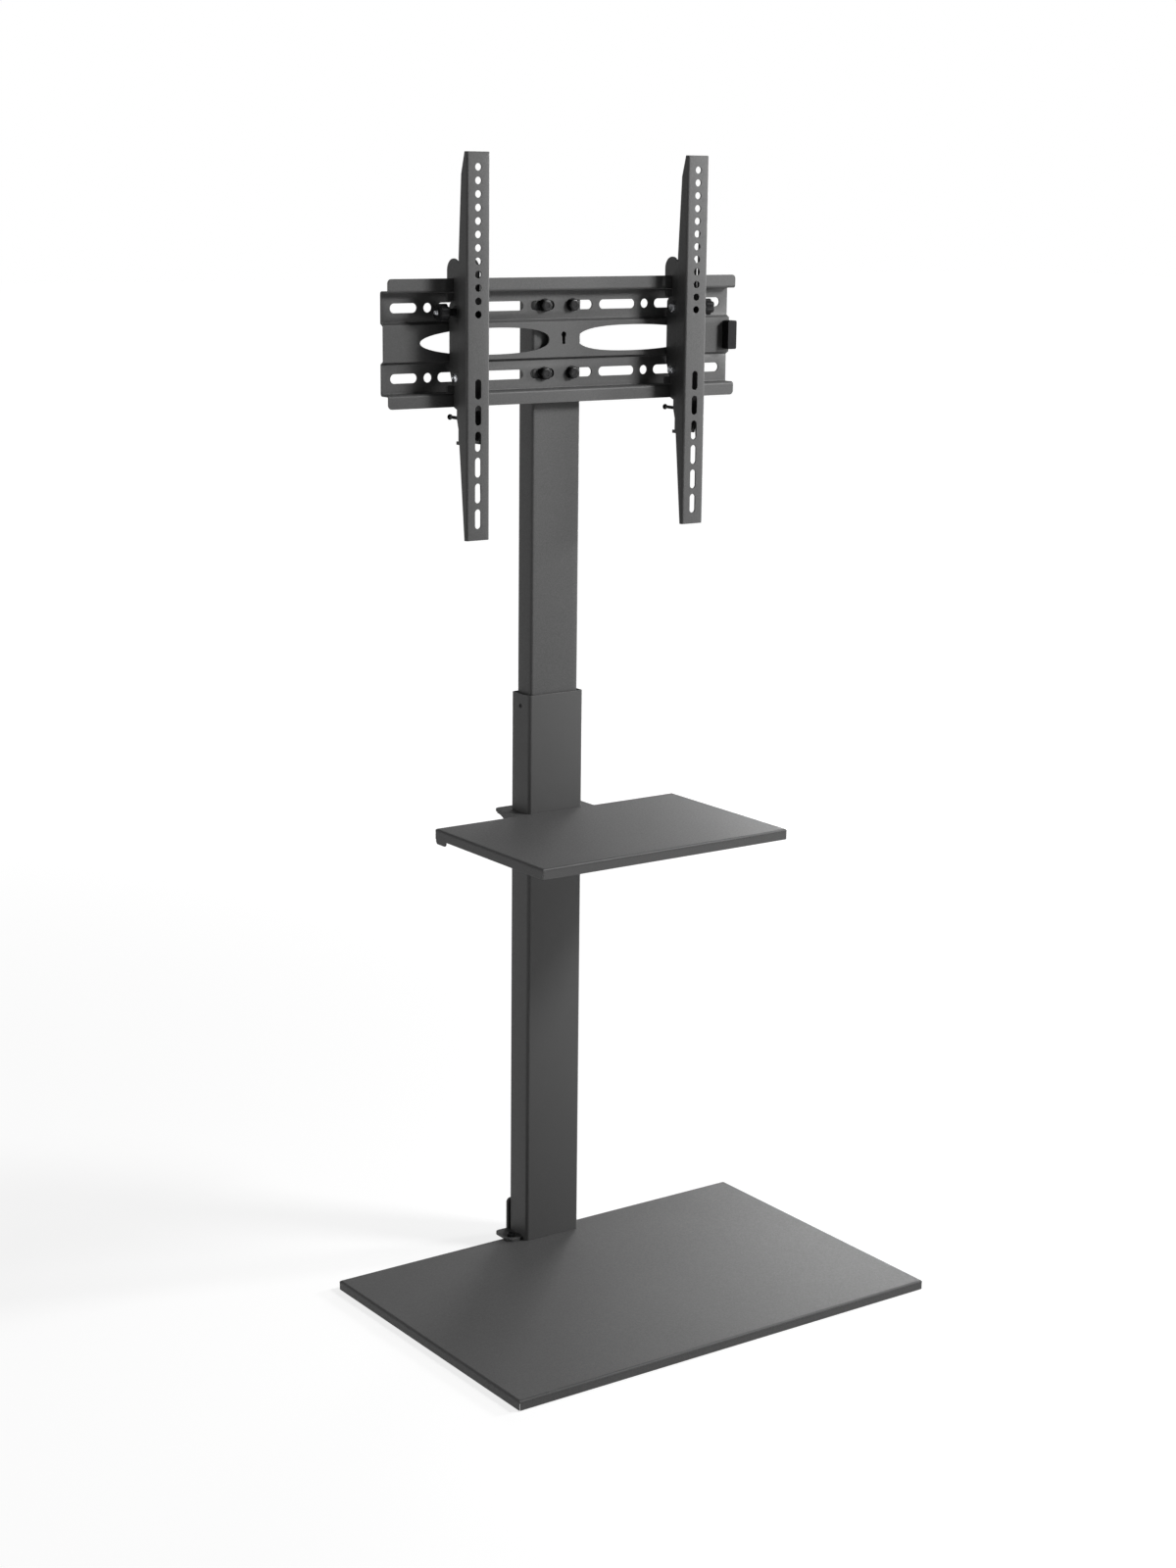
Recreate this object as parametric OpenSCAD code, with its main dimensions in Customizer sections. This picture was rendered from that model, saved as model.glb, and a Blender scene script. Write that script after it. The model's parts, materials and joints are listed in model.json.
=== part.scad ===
// Floor stand for a flat screen: a folded floor plate, a two-stage column with a shelf,
// and a slotted wall plate that carries two tilting screen arms.
// X runs across, Y runs from the screen side to the back, Z runs up from the floor.
// The column's middle is at x = 0 and the stand's depth is centred on y = 0.

/* [Floor plate] */
// Width of the floor plate
base_w = 600; // [480:10:800]
// Depth of the floor plate, front to back
base_d = 400; // [340:10:520]
// Height of the plate's folded edge
base_h = 12; // [12:1:20]
// Thickness of the plate's steel
base_sheet = 2; // [1.5:0.5:2.5]
// Inner radius of the fold along the edges
base_bend_r = 1; // [0.5:0.5:3]
// Gap between the folded edge and the floor
edge_lift = 1; // [0.5:0.5:2]
// Diameter of a floor pad
pad_dia = 22; // [16:1:22]
// Thickness of a floor pad
pad_h = 3; // [2.5:0.5:4]
// Distance of a pad's middle from the plate's front or back edge
pad_inset = 28; // [26:1:60]
// Width of a stiffening rib
rib_w = 24; // [22:1:40]
// Steel of the ribs
rib_sheet = 1.5; // [1:0.5:2]
// Distance of the outer ribs' middle from the plate's sides
rib_side = 40; // [30:1:80]
// Distance of the inner ribs' middle from the column's middle
rib_mid = 100; // [85:1:150]
// Gap between a rib's end and the plate's edge
rib_end = 12; // [8:1:15]
// Thickness of the anchor plate under the column
anchor_h = 3; // [2:0.5:4]
// How far the anchor plate reaches in front of the column
anchor_reach = 40; // [20:1:100]

/* [Foot] */
// How far the foot bracket's ear reaches to the left of the middle
ear_reach = 60; // [60:1:72]
// Thickness of the foot bracket
foot_sheet = 4; // [3:0.5:6]
// How far the ear's front edge lies behind the column's front face
foot_setback = 8; // [0:1:10]
// Width of the bracket's upright leg
leg_w = 84; // [60:1:100]
// Height of the leg above the floor plate
leg_h = 45; // [35:1:80]
// Corner radius of the ear and of the leg
foot_r = 6; // [3:1:10]
// Distance of the ear bolt from the column's side
ear_bolt_side = 12; // [11:0.5:13]
// Distance of the bolts in the floor plate from its back edge
ear_bolt_back = 8; // [7:0.5:10]
// Height of the leg bolts above the floor plate
leg_bolt_h = 25; // [20:1:30]
// Distance between the two leg bolts
leg_bolt_span = 24; // [18:1:30]
// Distance between the two bolts under the column
base_bolt_span = 48; // [44:1:56]
// Distance of the bolts under the column from its front face
base_bolt_in = 12; // [10:1:16]
// Height of the block inside the column's foot
block_h = 37; // [34:1:60]

/* [Lower column] */
// Width of the lower column
column_w = 80; // [76:1:100]
// Depth of the lower column
column_d = 40; // [37:1:60]
// Length of the lower column
column_l = 710; // [600:10:900]
// Wall of the lower column
column_wall = 2; // [1.5:0.5:3]
// Inner corner radius of the lower column
column_bend_r = 2; // [1:0.5:4]
// How far the column stands out behind the floor plate
column_overhang = 14; // [8:1:20]
// Height of the guide bush in the column's mouth
bush_h = 40; // [25:1:80]
// Depth of the bush below the column's rim
bush_recess = 1; // [0.5:0.5:4]
// Distance of the lock screws below the column's rim
lock_drop = 15; // [8:1:20]
// Diameter of a lock screw
lock_dia = 6; // [4:1:8]

/* [Upper column] */
// Width of the upper column
mast_w = 70; // [50:1:74]
// Depth of the upper column
mast_d = 30; // [24:1:34]
// Length of the upper column
mast_l = 700; // [600:10:900]
// Wall of the upper column
mast_wall = 1.5; // [1:0.5:2.5]
// Inner corner radius of the upper column
mast_bend_r = 2; // [1:0.5:4]
// Length of the upper column that stays inside the lower one
mast_overlap = 219; // [150:1:400]
// Height of the guide shoe under the upper column
guide_h = 12; // [6:1:25]
// Depth of the guide shoe's plug in the upper column
plug_h = 18; // [8:1:30]
// Thickness of the cap's rim on the upper column
cap_h = 3; // [2:0.5:6]

/* [Shelf] */
// Width of the shelf
shelf_w = 356; // [280:1:480]
// Depth of the shelf
shelf_d = 231; // [180:1:300]
// Height of the shelf's top above the floor
shelf_z = 576; // [300:1:650]
// Height of the shelf's folded edge
shelf_edge = 13; // [10:1:25]
// Thickness of the shelf's steel
shelf_sheet = 1.5; // [1:0.5:2]
// Inner radius of the fold along the shelf's edges
shelf_bend_r = 1; // [0.5:0.5:3]
// Gap between the shelf's back edge and the column
shelf_gap = 3.6; // [3.6:0.1:10]
// Length of the lug at the back end of each side edge
lug_l = 22; // [12:1:40]
// How far the lug hangs below the edge
lug_drop = 5.6; // [5:0.2:12]
// Corner radius of the lug
lug_r = 4; // [2:0.5:5]
// Width of the shelf bracket
bracket_w = 116; // [110:1:150]
// Thickness of the bracket's steel
bracket_sheet = 3; // [2:0.5:4]
// How far the bracket stands out behind the column
bracket_back = 14; // [12:1:20]
// How far the bracket reaches under the shelf
bracket_reach = 120; // [90:1:160]
// Depth of the bracket's side walls at the column
bracket_drop = 30; // [27:1:45]
// Depth of the bracket's side walls at their front end
bracket_nose = 9; // [6:1:14]
// Depth of the bracket's cross walls
clamp_drop = 26; // [22:1:30]
// Diameter of a clamp screw
clamp_dia = 8; // [5:1:9]
// Distance between the clamp screws
clamp_span = 40; // [24:1:50]
// Diameter of a shelf stud
stud_dia = 5; // [4:0.5:6]
// Distance between the shelf studs across the bracket
stud_span = 70; // [40:1:80]
// Distance between the shelf studs along the bracket
stud_pitch = 50; // [30:1:60]
// Distance of the front studs from the bracket's front end
stud_in = 25; // [15:1:35]

/* [Wall plate] */
// Length of the wall plate
plate_w = 500; // [460:10:700]
// Height of the wall plate over its lips
plate_h = 147; // [147:1:170]
// Thickness of the plate's steel
plate_sheet = 2; // [1.5:0.5:2.5]
// Inner radius of the plate's bends
plate_bend_r = 1.2; // [0.6:0.2:2]
// Distance of the plate's middle below the upper column's top
plate_drop = 51.5; // [51:0.5:70]
// Sideways shift of the plate from the column's middle
plate_shift = 5; // [0:0.5:6]
// Height of each lip above its web
lip_h = 14; // [13:0.5:15]
// Distance from the upper column's face to the front of the lips
lip_reach = 18; // [17:0.5:18.5]
// Corner radius at the ends of the lips
lip_corner_r = 5; // [2:1:8]
// Height of the raised middle band
mid_h = 42; // [38:1:46]
// How far the middle band stands forward
mid_step = 5; // [3:0.5:6]
// Height of the slope beside the middle band
step_run = 3; // [2:0.5:5]
// Distance of each row of slots from the plate's middle
row_offset = 40; // [38:0.5:42]
// Width of the slots and round holes in the rows
row_slot_w = 11; // [10:0.5:13]
// Length of the slots at the plate's middle
centre_slot_l = 34; // [30:1:40]
// Distance of a long window's inner end from the plate's middle
lens_in = 21; // [14:1:40]
// Distance of a long window's tip from the plate's end
lens_margin = 49; // [30:1:90]
// Height of a long window
lens_h = 31; // [20:1:34]
// Width of the hanging hole's head
keyhole_head = 6.6; // [5:0.2:10]
// Width of the hanging hole's stem
keyhole_stem = 3.8; // [3:0.2:4.6]
// Height of the hanging hole
keyhole_h = 14.5; // [10:0.5:20]
// Distance between the plate's bolts across
bolt_span = 40; // [36:1:46]
// Diameter of a plate bolt
plate_bolt_dia = 8; // [6:0.5:8]
// Width of the end cap along the plate
end_cap_w = 13.5; // [10:0.5:20]
// Height of the end cap
end_cap_h = 35; // [20:1:38]
// How far the end cap stands in front of the middle band
end_cap_front = 12; // [6:1:16]

/* [Arms] */
// Length of a screen arm
arm_l = 442; // [436:1:520]
// Width of a screen arm
arm_w = 32; // [30:1:40]
// Thickness of the arm's steel
arm_sheet = 2; // [1.5:0.5:2.5]
// Inner radius of the arm's bends
arm_bend_r = 1; // [0.5:0.5:2]
// Depth of the arm's side walls
arm_depth = 17.5; // [15:0.5:19]
// Depth of the side walls at the arm's ends
arm_tip = 5; // [4:0.5:8]
// Distance from the upper column's face to the arms' front
arm_reach = 50; // [50:0.5:60]
// Height of the arm's top above the plate's middle
arm_rise = 215.5; // [210:0.5:240]
// Distance of the left arm from the column's middle
arm_left = 144; // [110:1:160]
// Distance of the right arm from the column's middle
arm_right = 170; // [120:1:180]
// Diameter of the arm's round holes
hole_dia = 8.5; // [6:0.5:10]
// Distance between the arm's round holes
hole_pitch = 15; // [12:1:16]
// Distance of the first hole from the arm's top
hole_in = 17; // [12:1:25]
// Number of round holes in an arm
hole_count = 12; // [4:1:13]
// Distance from the first round hole to the last slot
screen_pitch = 400; // [380:5:405]
// Distance between the arm's slots
slot_pitch = 30; // [27:1:34]
// Length of an arm's slot
slot_l = 23; // [15:1:25]
// Width of an arm's slot
slot_w = 8; // [6:0.5:10]
// Number of slots in an arm
slot_count = 6; // [2:1:6]

/* [Hangers and tilt] */
// Thickness of the hanger's steel
hanger_sheet = 2; // [1.5:0.5:2.5]
// Width of the hook above the top lip
hook_w = 28; // [26:1:29]
// Height of the hook above the plate's top
hook_rise = 22.5; // [18:0.5:30]
// Depth of the pivot behind the arms' front
pivot_in = 24; // [23:0.5:25]
// Distance of the pivot below the plate's middle
pivot_drop = 39.5; // [38:0.5:41]
// Distance of the tilt bolt above the pivot
tilt_rise = 75; // [70:1:76]
// Depth of the tilt bolt behind the arms' front
tilt_in = 24.5; // [24.5:0.5:26]
// Diameter of the pivot and tilt bolts
tilt_dia = 6; // [4:0.5:6]
// How far the arms tilt forward, in degrees
tilt_forward = 10; // [5:1:10]
// How far the arms tilt back, in degrees
tilt_back = 3; // [1:0.5:3]
// Diameter of a tilt knob
knob_dia = 20; // [20:1:32]
// Thickness of the knob's grip
knob_grip = 13; // [12:1:24]
// Length of the knob's neck
knob_neck = 11; // [11:1:16]
// Number of lobes round the knob
knob_lobes = 6; // [4:1:9]
// Length of the hanger's bent tabs
tab_l = 10; // [6:1:10]
// Height of the hanger's bent tabs
tab_h = 9; // [6:1:10]
// Diameter of a safety screw
safety_dia = 4; // [3:0.5:5]
// Length of a safety screw
safety_l = 33; // [31:1:34]
// How far a safety screw stands to the left of its hanger's middle
safety_side = 7; // [0:0.5:7]

/* [Hidden] */

$fn = 48;
steel = "#46474a";
black = "#17181a";
zinc = "#b9bcc0";

// Overrun of every cut past the surface it opens
cut = 1;
// Gap between pieces that are seated on each other but not joined
seat_gap = 0.3;
// Gap round the lower column inside the shelf bracket
slide_gap = 0.4;
// Gap on each side of a guide that slides
bush_gap = 0.2;
// Gap round a plastic part pushed into a tube
push_gap = 0.1;
// Gap round a screw in its tapped hole
thread_gap = 0.05;
// Gap round a pivot bolt in the hanger
pin_gap = 0.06;
// Gap round a bolt in a plain hole
hole_gap = 0.3;

// Heads and nuts, as shares of the bolt's diameter
hex_across_share = 1.62;
hex_head_share = 0.65;
nut_h_share = 0.8;
round_head_share = 1.7;
round_head_h_share = 0.55;
socket_share = 0.5;

// Heights of the floor plate, the column and the upper column
base_top = edge_lift + base_h;
base_under = base_top - base_sheet;
anchor_z = base_under - anchor_h;
column_top = base_top + column_l;
mast_z = column_top - mast_overlap;
mast_top = mast_z + mast_l;
plate_z = mast_top - plate_drop;

// Depths, worked out so that the whole stand is centred on y = 0
base_front = -(base_d + column_overhang + bracket_back) / 2;
base_back = base_front + base_d;
base_y = (base_front + base_back) / 2;
column_back = base_back + column_overhang;
column_front = column_back - column_d;
column_y = (column_front + column_back) / 2;
mast_front = column_y - mast_d / 2;
arm_front = mast_front - arm_reach;

// Foot
foot_bolt_dia = 6;
ear_bolt_x = -column_w / 2 - ear_bolt_side;
ear_bolt_y = base_back - ear_bolt_back;
base_bolt_y = column_front + base_bolt_in;
leg_bolt_z = base_top + leg_bolt_h;
leg_back = column_back + seat_gap + foot_sheet;
foot_bolt_l = foot_sheet + base_sheet + anchor_h;
block_bite = 22;
leg_bite = 14;

// Ribs and pads
rib_h = base_under - pad_h;
rib_xs = [-base_w / 2 + rib_side, -rib_mid, rib_mid, base_w / 2 - rib_side];
pad_xs = [-base_w / 2 + rib_side, base_w / 2 - rib_side];
pad_ys = [base_front + pad_inset, base_back - pad_inset];
anchor_w = 2 * rib_mid - rib_w;
anchor_r = 3;

// Clear insides of the two tubes
column_in_w = column_w - 2 * column_wall;
column_in_d = column_d - 2 * column_wall;
mast_in_w = mast_w - 2 * mast_wall;
mast_in_d = mast_d - 2 * mast_wall;
lock_z = column_top - lock_drop;
bush_top = column_top - bush_recess;
plug_wall = 4;
// The cap's plug ends above the upper nuts of the wall plate
cap_plug = plate_drop - row_offset - plate_bolt_dia * hex_across_share / cos(30) / 2 - seat_gap;

// Shelf
shelf_back = column_front - shelf_gap;
shelf_y = shelf_back - shelf_d / 2;
shelf_under = shelf_z - shelf_sheet;
bracket_top = shelf_under;
bracket_under = bracket_top - bracket_sheet;
bracket_front = column_front - bracket_reach;
bracket_end = column_back + bracket_back;
bracket_r = 10;
clamp_z = bracket_under - clamp_drop / 2;
stud_xs = [-stud_span / 2, stud_span / 2];
stud_ys = [bracket_front + stud_in, bracket_front + stud_in + stud_pitch];
stud_nut_h = stud_dia * nut_h_share;

// Wall plate
web_out = plate_h / 2 - lip_h;
web_in = web_out - plate_sheet;
mid_half = mid_h / 2;
// Shift that keeps the sloped steps as thick as the sheet
step_shift = plate_sheet * (norm([step_run, mid_step]) - step_run) / mid_step;
plate_end = plate_shift + plate_w / 2;
bolt_clear = 0.5;
centre_slot_in = bolt_span / 2 - plate_shift - plate_bolt_dia / 2 - bolt_clear;
washer_h = 1.2;
washer_dia = 2 * plate_bolt_dia;
plate_nut_h = plate_bolt_dia * nut_h_share;
rail_front = mast_front - plate_sheet;
// Middle and length of each slot beside the middle, as shares of the plate's length
row_slot_share = [[0.163, 0.106], [0.311, 0.074], [0.44, 0.072]];
// Places of the round holes, as shares of the plate's length
row_hole_share = [0.245, 0.375];
// Place of the window's widest point, as a share of its length
lens_peak_share = 0.45;
lens_blunt = 2.5;
lens_steps = 12;
lens_l = plate_w / 2 - lens_margin - lens_in;
end_cap_wall = 1.5;
end_cap_bite = end_cap_w - 2 * end_cap_wall;
end_cap_r = 2;

// Arms
arm_top = plate_z + arm_rise;
arm_bottom = arm_top - arm_l;
arm_in = arm_w - 2 * arm_sheet;
// Depth of the side walls along the arm: share of the length from the top, share of the full depth
arm_taper_share = [[0.056, 0.69], [0.267, 1], [0.747, 0.92]];
ear_r = tilt_dia + 1.25;

// Hangers: depths are measured from the arms' front, heights from the plate's middle
hanger_w = arm_in - 2 * seat_gap;
tilt_gap = 0.45;
band_gap = 2;
hook_lift = 1;
lip_front = arm_reach - lip_reach;
lip_gap = lip_front - seat_gap;
lip_slot_w = plate_sheet + 2 * seat_gap;
hook_r = hook_w / 2;
hook_top = plate_h / 2 + hook_rise;
hook_low = web_out + hook_lift;
hook_shoulder = hook_top - hook_r;
hanger_rear = arm_reach - mid_step - plate_sheet - band_gap;
rear_slope_top = 15;
rear_slope_low = 27.5;
rear_slope_end = 2.5;
foot_low = 43;
toe_in = 26;
toe_h = 4;
ankle_in = 21.5;
heel_in = 25;
ankle_h = 14;
heel_h = 13;
pivot_h = -pivot_drop;
tilt_h = pivot_h + tilt_rise;
toe_low = -plate_h / 2 - foot_low;
web_h_share = 0.8;
safety_h = -plate_h / 2 - heel_h;
safety_end = 52;
tab_gap = 0.5;
tilt_radius = norm([tilt_in - pivot_in, tilt_rise]);
tilt_angle = atan2(tilt_rise, tilt_in - pivot_in);
tilt_play = 0.3;
slot_half = tilt_dia / 2 + hole_gap;

// Front edge of the hanger that the arm's back clears at height k over the pivot
function front_at(k) = let(a = k < 0 ? tilt_forward : tilt_back)
    pivot_in - (pivot_in - arm_sheet) * cos(a) + abs(k) * sin(a) + tilt_gap;

// Knob
neck_share = 0.44;
lobe_share = 0.34;
core_share = 0.8;
crown_share = 0.6;
knob_crown = 1.5;
bolt_tip = 2;

// Point at depth a behind the arms' front and height h over the plate's middle
function at(a, h) = [arm_front + a, plate_z + h];

// Place of a bolt or pin that runs across at that depth and height
function across_at(x, a, h) = [x, arm_front + a, plate_z + h];

// A flat outline drawn in width and height, made solid from y0 to y1
module along_y(y0, y1) {
    translate([0, y1, 0]) rotate([90, 0, 0]) linear_extrude(y1 - y0) children();
}

// A flat outline drawn in depth and height, made solid from x0 to x1
module along_x(x0, x1) {
    translate([x0, 0, 0]) rotate([90, 0, 90]) linear_extrude(x1 - x0) children();
}

// A flat outline drawn in width and depth, made solid from z0 to z1
module along_z(z0, z1) {
    translate([0, 0, z0]) linear_extrude(z1 - z0) children();
}

// Rectangle with round corners
module round_rect(w, d, r) {
    square([w - 2 * r, d], center = true);
    square([w, d - 2 * r], center = true);
    for (x = [-1, 1], y = [-1, 1])
        translate([x * (w / 2 - r), y * (d / 2 - r)]) circle(r);
}

// Rectangle from y = 0 with its two corners at h rounded
module arch(w, h, r) {
    translate([-w / 2, 0]) square([w, h - r]);
    translate([-w / 2 + r, 0]) square([w - 2 * r, h]);
    for (x = [-1, 1]) translate([x * (w / 2 - r), h - r]) circle(r);
}

// Slot with round ends, l long and w wide
module slot(l, w) {
    square([l - w, w], center = true);
    for (x = [-1, 1]) translate([x * (l - w) / 2, 0]) circle(d = w);
}

// Block from z = 0 with its four top edges rounded, as a folded sheet's are
module folded_block(w, d, h, r) {
    intersection() {
        along_y(-d / 2, d / 2) arch(w, h, r);
        along_x(-w / 2, w / 2) arch(d, h, r);
    }
}

// Sheet folded down on four sides
module tray(w, d, h, sheet, bend_r) {
    difference() {
        folded_block(w, d, h, bend_r + sheet);
        translate([0, 0, -cut])
            folded_block(w - 2 * sheet, d - 2 * sheet, h - sheet + cut, bend_r);
    }
}

// Bolt with a hexagon head: the head lies under z = 0, the shank over it
module hex_bolt(dia, l) {
    across = dia * hex_across_share / cos(30);
    translate([0, 0, -dia * hex_head_share]) cylinder(d = across, h = dia * hex_head_share, $fn = 6);
    cylinder(d = dia, h = l);
}

// Bolt with a round head and a hexagon socket
module round_bolt(dia, l) {
    head = dia * round_head_h_share;
    difference() {
        union() {
            translate([0, 0, -head]) cylinder(d = dia * round_head_share, h = head);
            cylinder(d = dia, h = l);
        }
        translate([0, 0, -head - cut]) cylinder(d = dia * socket_share, h = head / 2 + cut, $fn = 6);
    }
}

// Headless screw with a hexagon socket at z = 0
module grub_screw(dia, l) {
    difference() {
        cylinder(d = dia, h = l);
        translate([0, 0, -cut]) cylinder(d = dia * socket_share, h = l / 3 + cut, $fn = 6);
    }
}

// Hexagon nut on z = 0
module hex_nut(dia, h) {
    difference() {
        cylinder(d = dia * hex_across_share / cos(30), h = h, $fn = 6);
        translate([0, 0, -cut]) cylinder(d = dia + 2 * thread_gap, h = h + 2 * cut);
    }
}

module floor_plate() {
    color(steel) difference() {
        translate([0, base_y, edge_lift]) tray(base_w, base_d, base_h, base_sheet, base_bend_r);
        translate([ear_bolt_x, ear_bolt_y, base_under - cut])
            cylinder(d = foot_bolt_dia + 2 * hole_gap, h = base_sheet + 2 * cut);
        for (x = [-1, 1]) translate([x * base_bolt_span / 2, base_bolt_y, base_under - cut])
            cylinder(d = foot_bolt_dia + 2 * hole_gap, h = base_sheet + 2 * cut);
    }
}

module floor_plate_ribs() {
    color(steel) for (x = rib_xs) along_y(base_front + rib_end, base_back - rib_end)
        translate([x, pad_h]) difference() {
            translate([-rib_w / 2, 0]) square([rib_w, rib_h]);
            translate([-rib_w / 2 + rib_sheet, rib_sheet]) square([rib_w - 2 * rib_sheet, rib_h + cut]);
        }
}

module floor_plate_anchor() {
    anchor_back = base_back - base_sheet - base_bend_r - seat_gap;
    anchor_front = column_front - anchor_reach;
    color(steel) difference() {
        along_z(anchor_z, base_under) translate([0, (anchor_front + anchor_back) / 2])
            round_rect(anchor_w, anchor_back - anchor_front, anchor_r);
        translate([ear_bolt_x, ear_bolt_y, anchor_z - cut])
            cylinder(d = foot_bolt_dia + 2 * thread_gap, h = anchor_h + 2 * cut);
        for (x = [-1, 1]) translate([x * base_bolt_span / 2, base_bolt_y, anchor_z - cut])
            cylinder(d = foot_bolt_dia + 2 * hole_gap, h = anchor_h + 2 * cut);
    }
}

module floor_pads() {
    color(black) for (x = pad_xs, y = pad_ys) translate([x, y, 0]) cylinder(d = pad_dia, h = pad_h);
}

module foot_bracket() {
    sole_front = column_front + foot_setback;
    inner = column_w / 2 + seat_gap;
    color(steel) difference() {
        union() {
            along_z(base_top, base_top + foot_sheet)
                translate([(leg_w / 2 - ear_reach) / 2, (sole_front + leg_back) / 2])
                    round_rect(ear_reach + leg_w / 2, leg_back - sole_front, foot_r);
            along_y(column_back + seat_gap, leg_back) translate([0, base_top]) arch(leg_w, leg_h, foot_r);
        }
        along_z(base_top - cut, base_top + foot_sheet + cut)
            translate([-inner, sole_front - cut])
                square([inner + leg_w / 2 + cut, column_back + seat_gap - sole_front + cut]);
        translate([ear_bolt_x, ear_bolt_y, base_top - cut])
            cylinder(d = foot_bolt_dia + 2 * hole_gap, h = foot_sheet + 2 * cut);
        for (x = [-1, 1]) translate([x * leg_bolt_span / 2, column_back, leg_bolt_z]) rotate([-90, 0, 0])
            cylinder(d = foot_bolt_dia + 2 * hole_gap, h = 2 * foot_sheet);
    }
}

module foot_bolt() {
    color(black) translate([ear_bolt_x, ear_bolt_y, base_top + foot_sheet]) rotate([180, 0, 0])
        hex_bolt(foot_bolt_dia, foot_bolt_l);
}

module leg_bolts() {
    leg_bolt_l = foot_sheet + column_wall + 2 * seat_gap + leg_bite;
    color(black) for (x = [-1, 1])
        translate([x * leg_bolt_span / 2, leg_back, leg_bolt_z]) rotate([90, 0, 0])
            round_bolt(foot_bolt_dia, leg_bolt_l);
}

module base_bolts() {
    color(black) for (x = [-1, 1])
        translate([x * base_bolt_span / 2, base_bolt_y, anchor_z])
            round_bolt(foot_bolt_dia, anchor_h + base_sheet + block_bite);
}

module lower_column() {
    color(steel) difference() {
        along_z(base_top, column_top) translate([0, column_y]) difference() {
            round_rect(column_w, column_d, column_bend_r + column_wall);
            round_rect(column_in_w, column_in_d, column_bend_r);
        }
        translate([-column_w / 2 - cut, column_y, lock_z]) rotate([0, 90, 0])
            cylinder(d = lock_dia + 2 * thread_gap, h = column_w + 2 * cut);
        for (x = [-1, 1]) translate([x * leg_bolt_span / 2, column_y, leg_bolt_z]) rotate([-90, 0, 0])
            cylinder(d = foot_bolt_dia + 2 * hole_gap, h = column_d);
    }
}

module column_foot_block() {
    leg_end = column_back - column_wall - seat_gap - leg_bite;
    color(steel) difference() {
        along_z(base_top, base_top + block_h) translate([0, column_y])
            round_rect(column_in_w, column_in_d - 2 * seat_gap, column_bend_r);
        for (x = [-1, 1]) {
            translate([x * base_bolt_span / 2, base_bolt_y, base_top - cut])
                cylinder(d = foot_bolt_dia + 2 * thread_gap, h = block_bite + 2 * cut);
            translate([x * leg_bolt_span / 2, leg_end - cut, leg_bolt_z]) rotate([-90, 0, 0])
                cylinder(d = foot_bolt_dia + 2 * thread_gap, h = leg_bite + 2 * cut);
        }
    }
}

module column_bush() {
    color(black) difference() {
        along_z(bush_top - bush_h, bush_top) translate([0, column_y]) difference() {
            round_rect(column_in_w - 2 * push_gap, column_in_d - 2 * push_gap, column_bend_r);
            round_rect(mast_w + 2 * bush_gap, mast_d + 2 * bush_gap, mast_bend_r + mast_wall + bush_gap);
        }
        translate([-column_w / 2, column_y, lock_z]) rotate([0, 90, 0])
            cylinder(d = lock_dia + 2 * hole_gap, h = column_w);
    }
}

module lock_screws() {
    lock_l = (column_w - mast_w) / 2 - seat_gap;
    color(black) for (x = [-1, 1]) translate([x * column_w / 2, column_y, lock_z]) rotate([0, -x * 90, 0])
        grub_screw(lock_dia, lock_l);
}

module shelf_tray() {
    notch = bracket_w + 2 * slide_gap;
    notch_in = shelf_sheet + shelf_bend_r;
    color(steel) {
        difference() {
            translate([0, shelf_y, shelf_z - shelf_edge])
                tray(shelf_w, shelf_d, shelf_edge, shelf_sheet, shelf_bend_r);
            translate([-notch / 2, shelf_back - notch_in, shelf_z - shelf_edge - cut])
                cube([notch, notch_in + cut, shelf_edge - shelf_sheet + cut]);
        }
        for (x = [-shelf_w / 2, shelf_w / 2 - shelf_sheet]) along_x(x, x + shelf_sheet)
            translate([shelf_back - shelf_sheet - lug_l / 2, shelf_z - shelf_edge]) mirror([0, 1])
                arch(lug_l, lug_drop, lug_r);
    }
}

module shelf_bracket() {
    nose_z = bracket_top - bracket_nose;
    deep_z = bracket_top - bracket_drop;
    curve_r = bracket_drop - bracket_sheet - bracket_sheet / 2;
    hole_w = column_w + 2 * slide_gap;
    hole_d = column_d + 2 * slide_gap;
    color(steel) {
        difference() {
            along_z(bracket_under, bracket_top) difference() {
                translate([0, bracket_front]) arch(bracket_w, bracket_end - bracket_front, bracket_r);
                translate([0, column_y])
                    round_rect(hole_w, hole_d, column_bend_r + column_wall + slide_gap);
            }
            for (x = stud_xs, y = stud_ys) translate([x, y, bracket_under - cut])
                cylinder(d = stud_dia + 2 * hole_gap, h = bracket_sheet + 2 * cut);
        }
        for (x = [-bracket_w / 2, bracket_w / 2 - bracket_sheet])
            along_x(x, x + bracket_sheet) difference() {
                polygon([[bracket_front, bracket_under], [bracket_front, nose_z],
                    [column_front - bracket_sheet, deep_z], [bracket_end - bracket_r, deep_z],
                    [bracket_end - bracket_r, bracket_under]]);
                translate([bracket_end - bracket_r, deep_z]) circle(curve_r);
            }
        for (y = [column_front - slide_gap - bracket_sheet, bracket_end - bracket_sheet])
            difference() {
                along_y(y, y + bracket_sheet) translate([0, bracket_under]) mirror([0, 1])
                    arch(column_w, clamp_drop, lug_r);
                if (y > column_y) for (x = [-1, 1]) translate([x * clamp_span / 2, y - cut, clamp_z])
                    rotate([-90, 0, 0])
                        cylinder(d = clamp_dia + 2 * thread_gap, h = bracket_sheet + 2 * cut);
            }
    }
}

module shelf_studs() {
    color(zinc) for (x = stud_xs, y = stud_ys)
        translate([x, y, bracket_under - stud_nut_h - stud_dia / 2])
            cylinder(d = stud_dia, h = bracket_sheet + stud_nut_h + stud_dia / 2);
}

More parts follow.
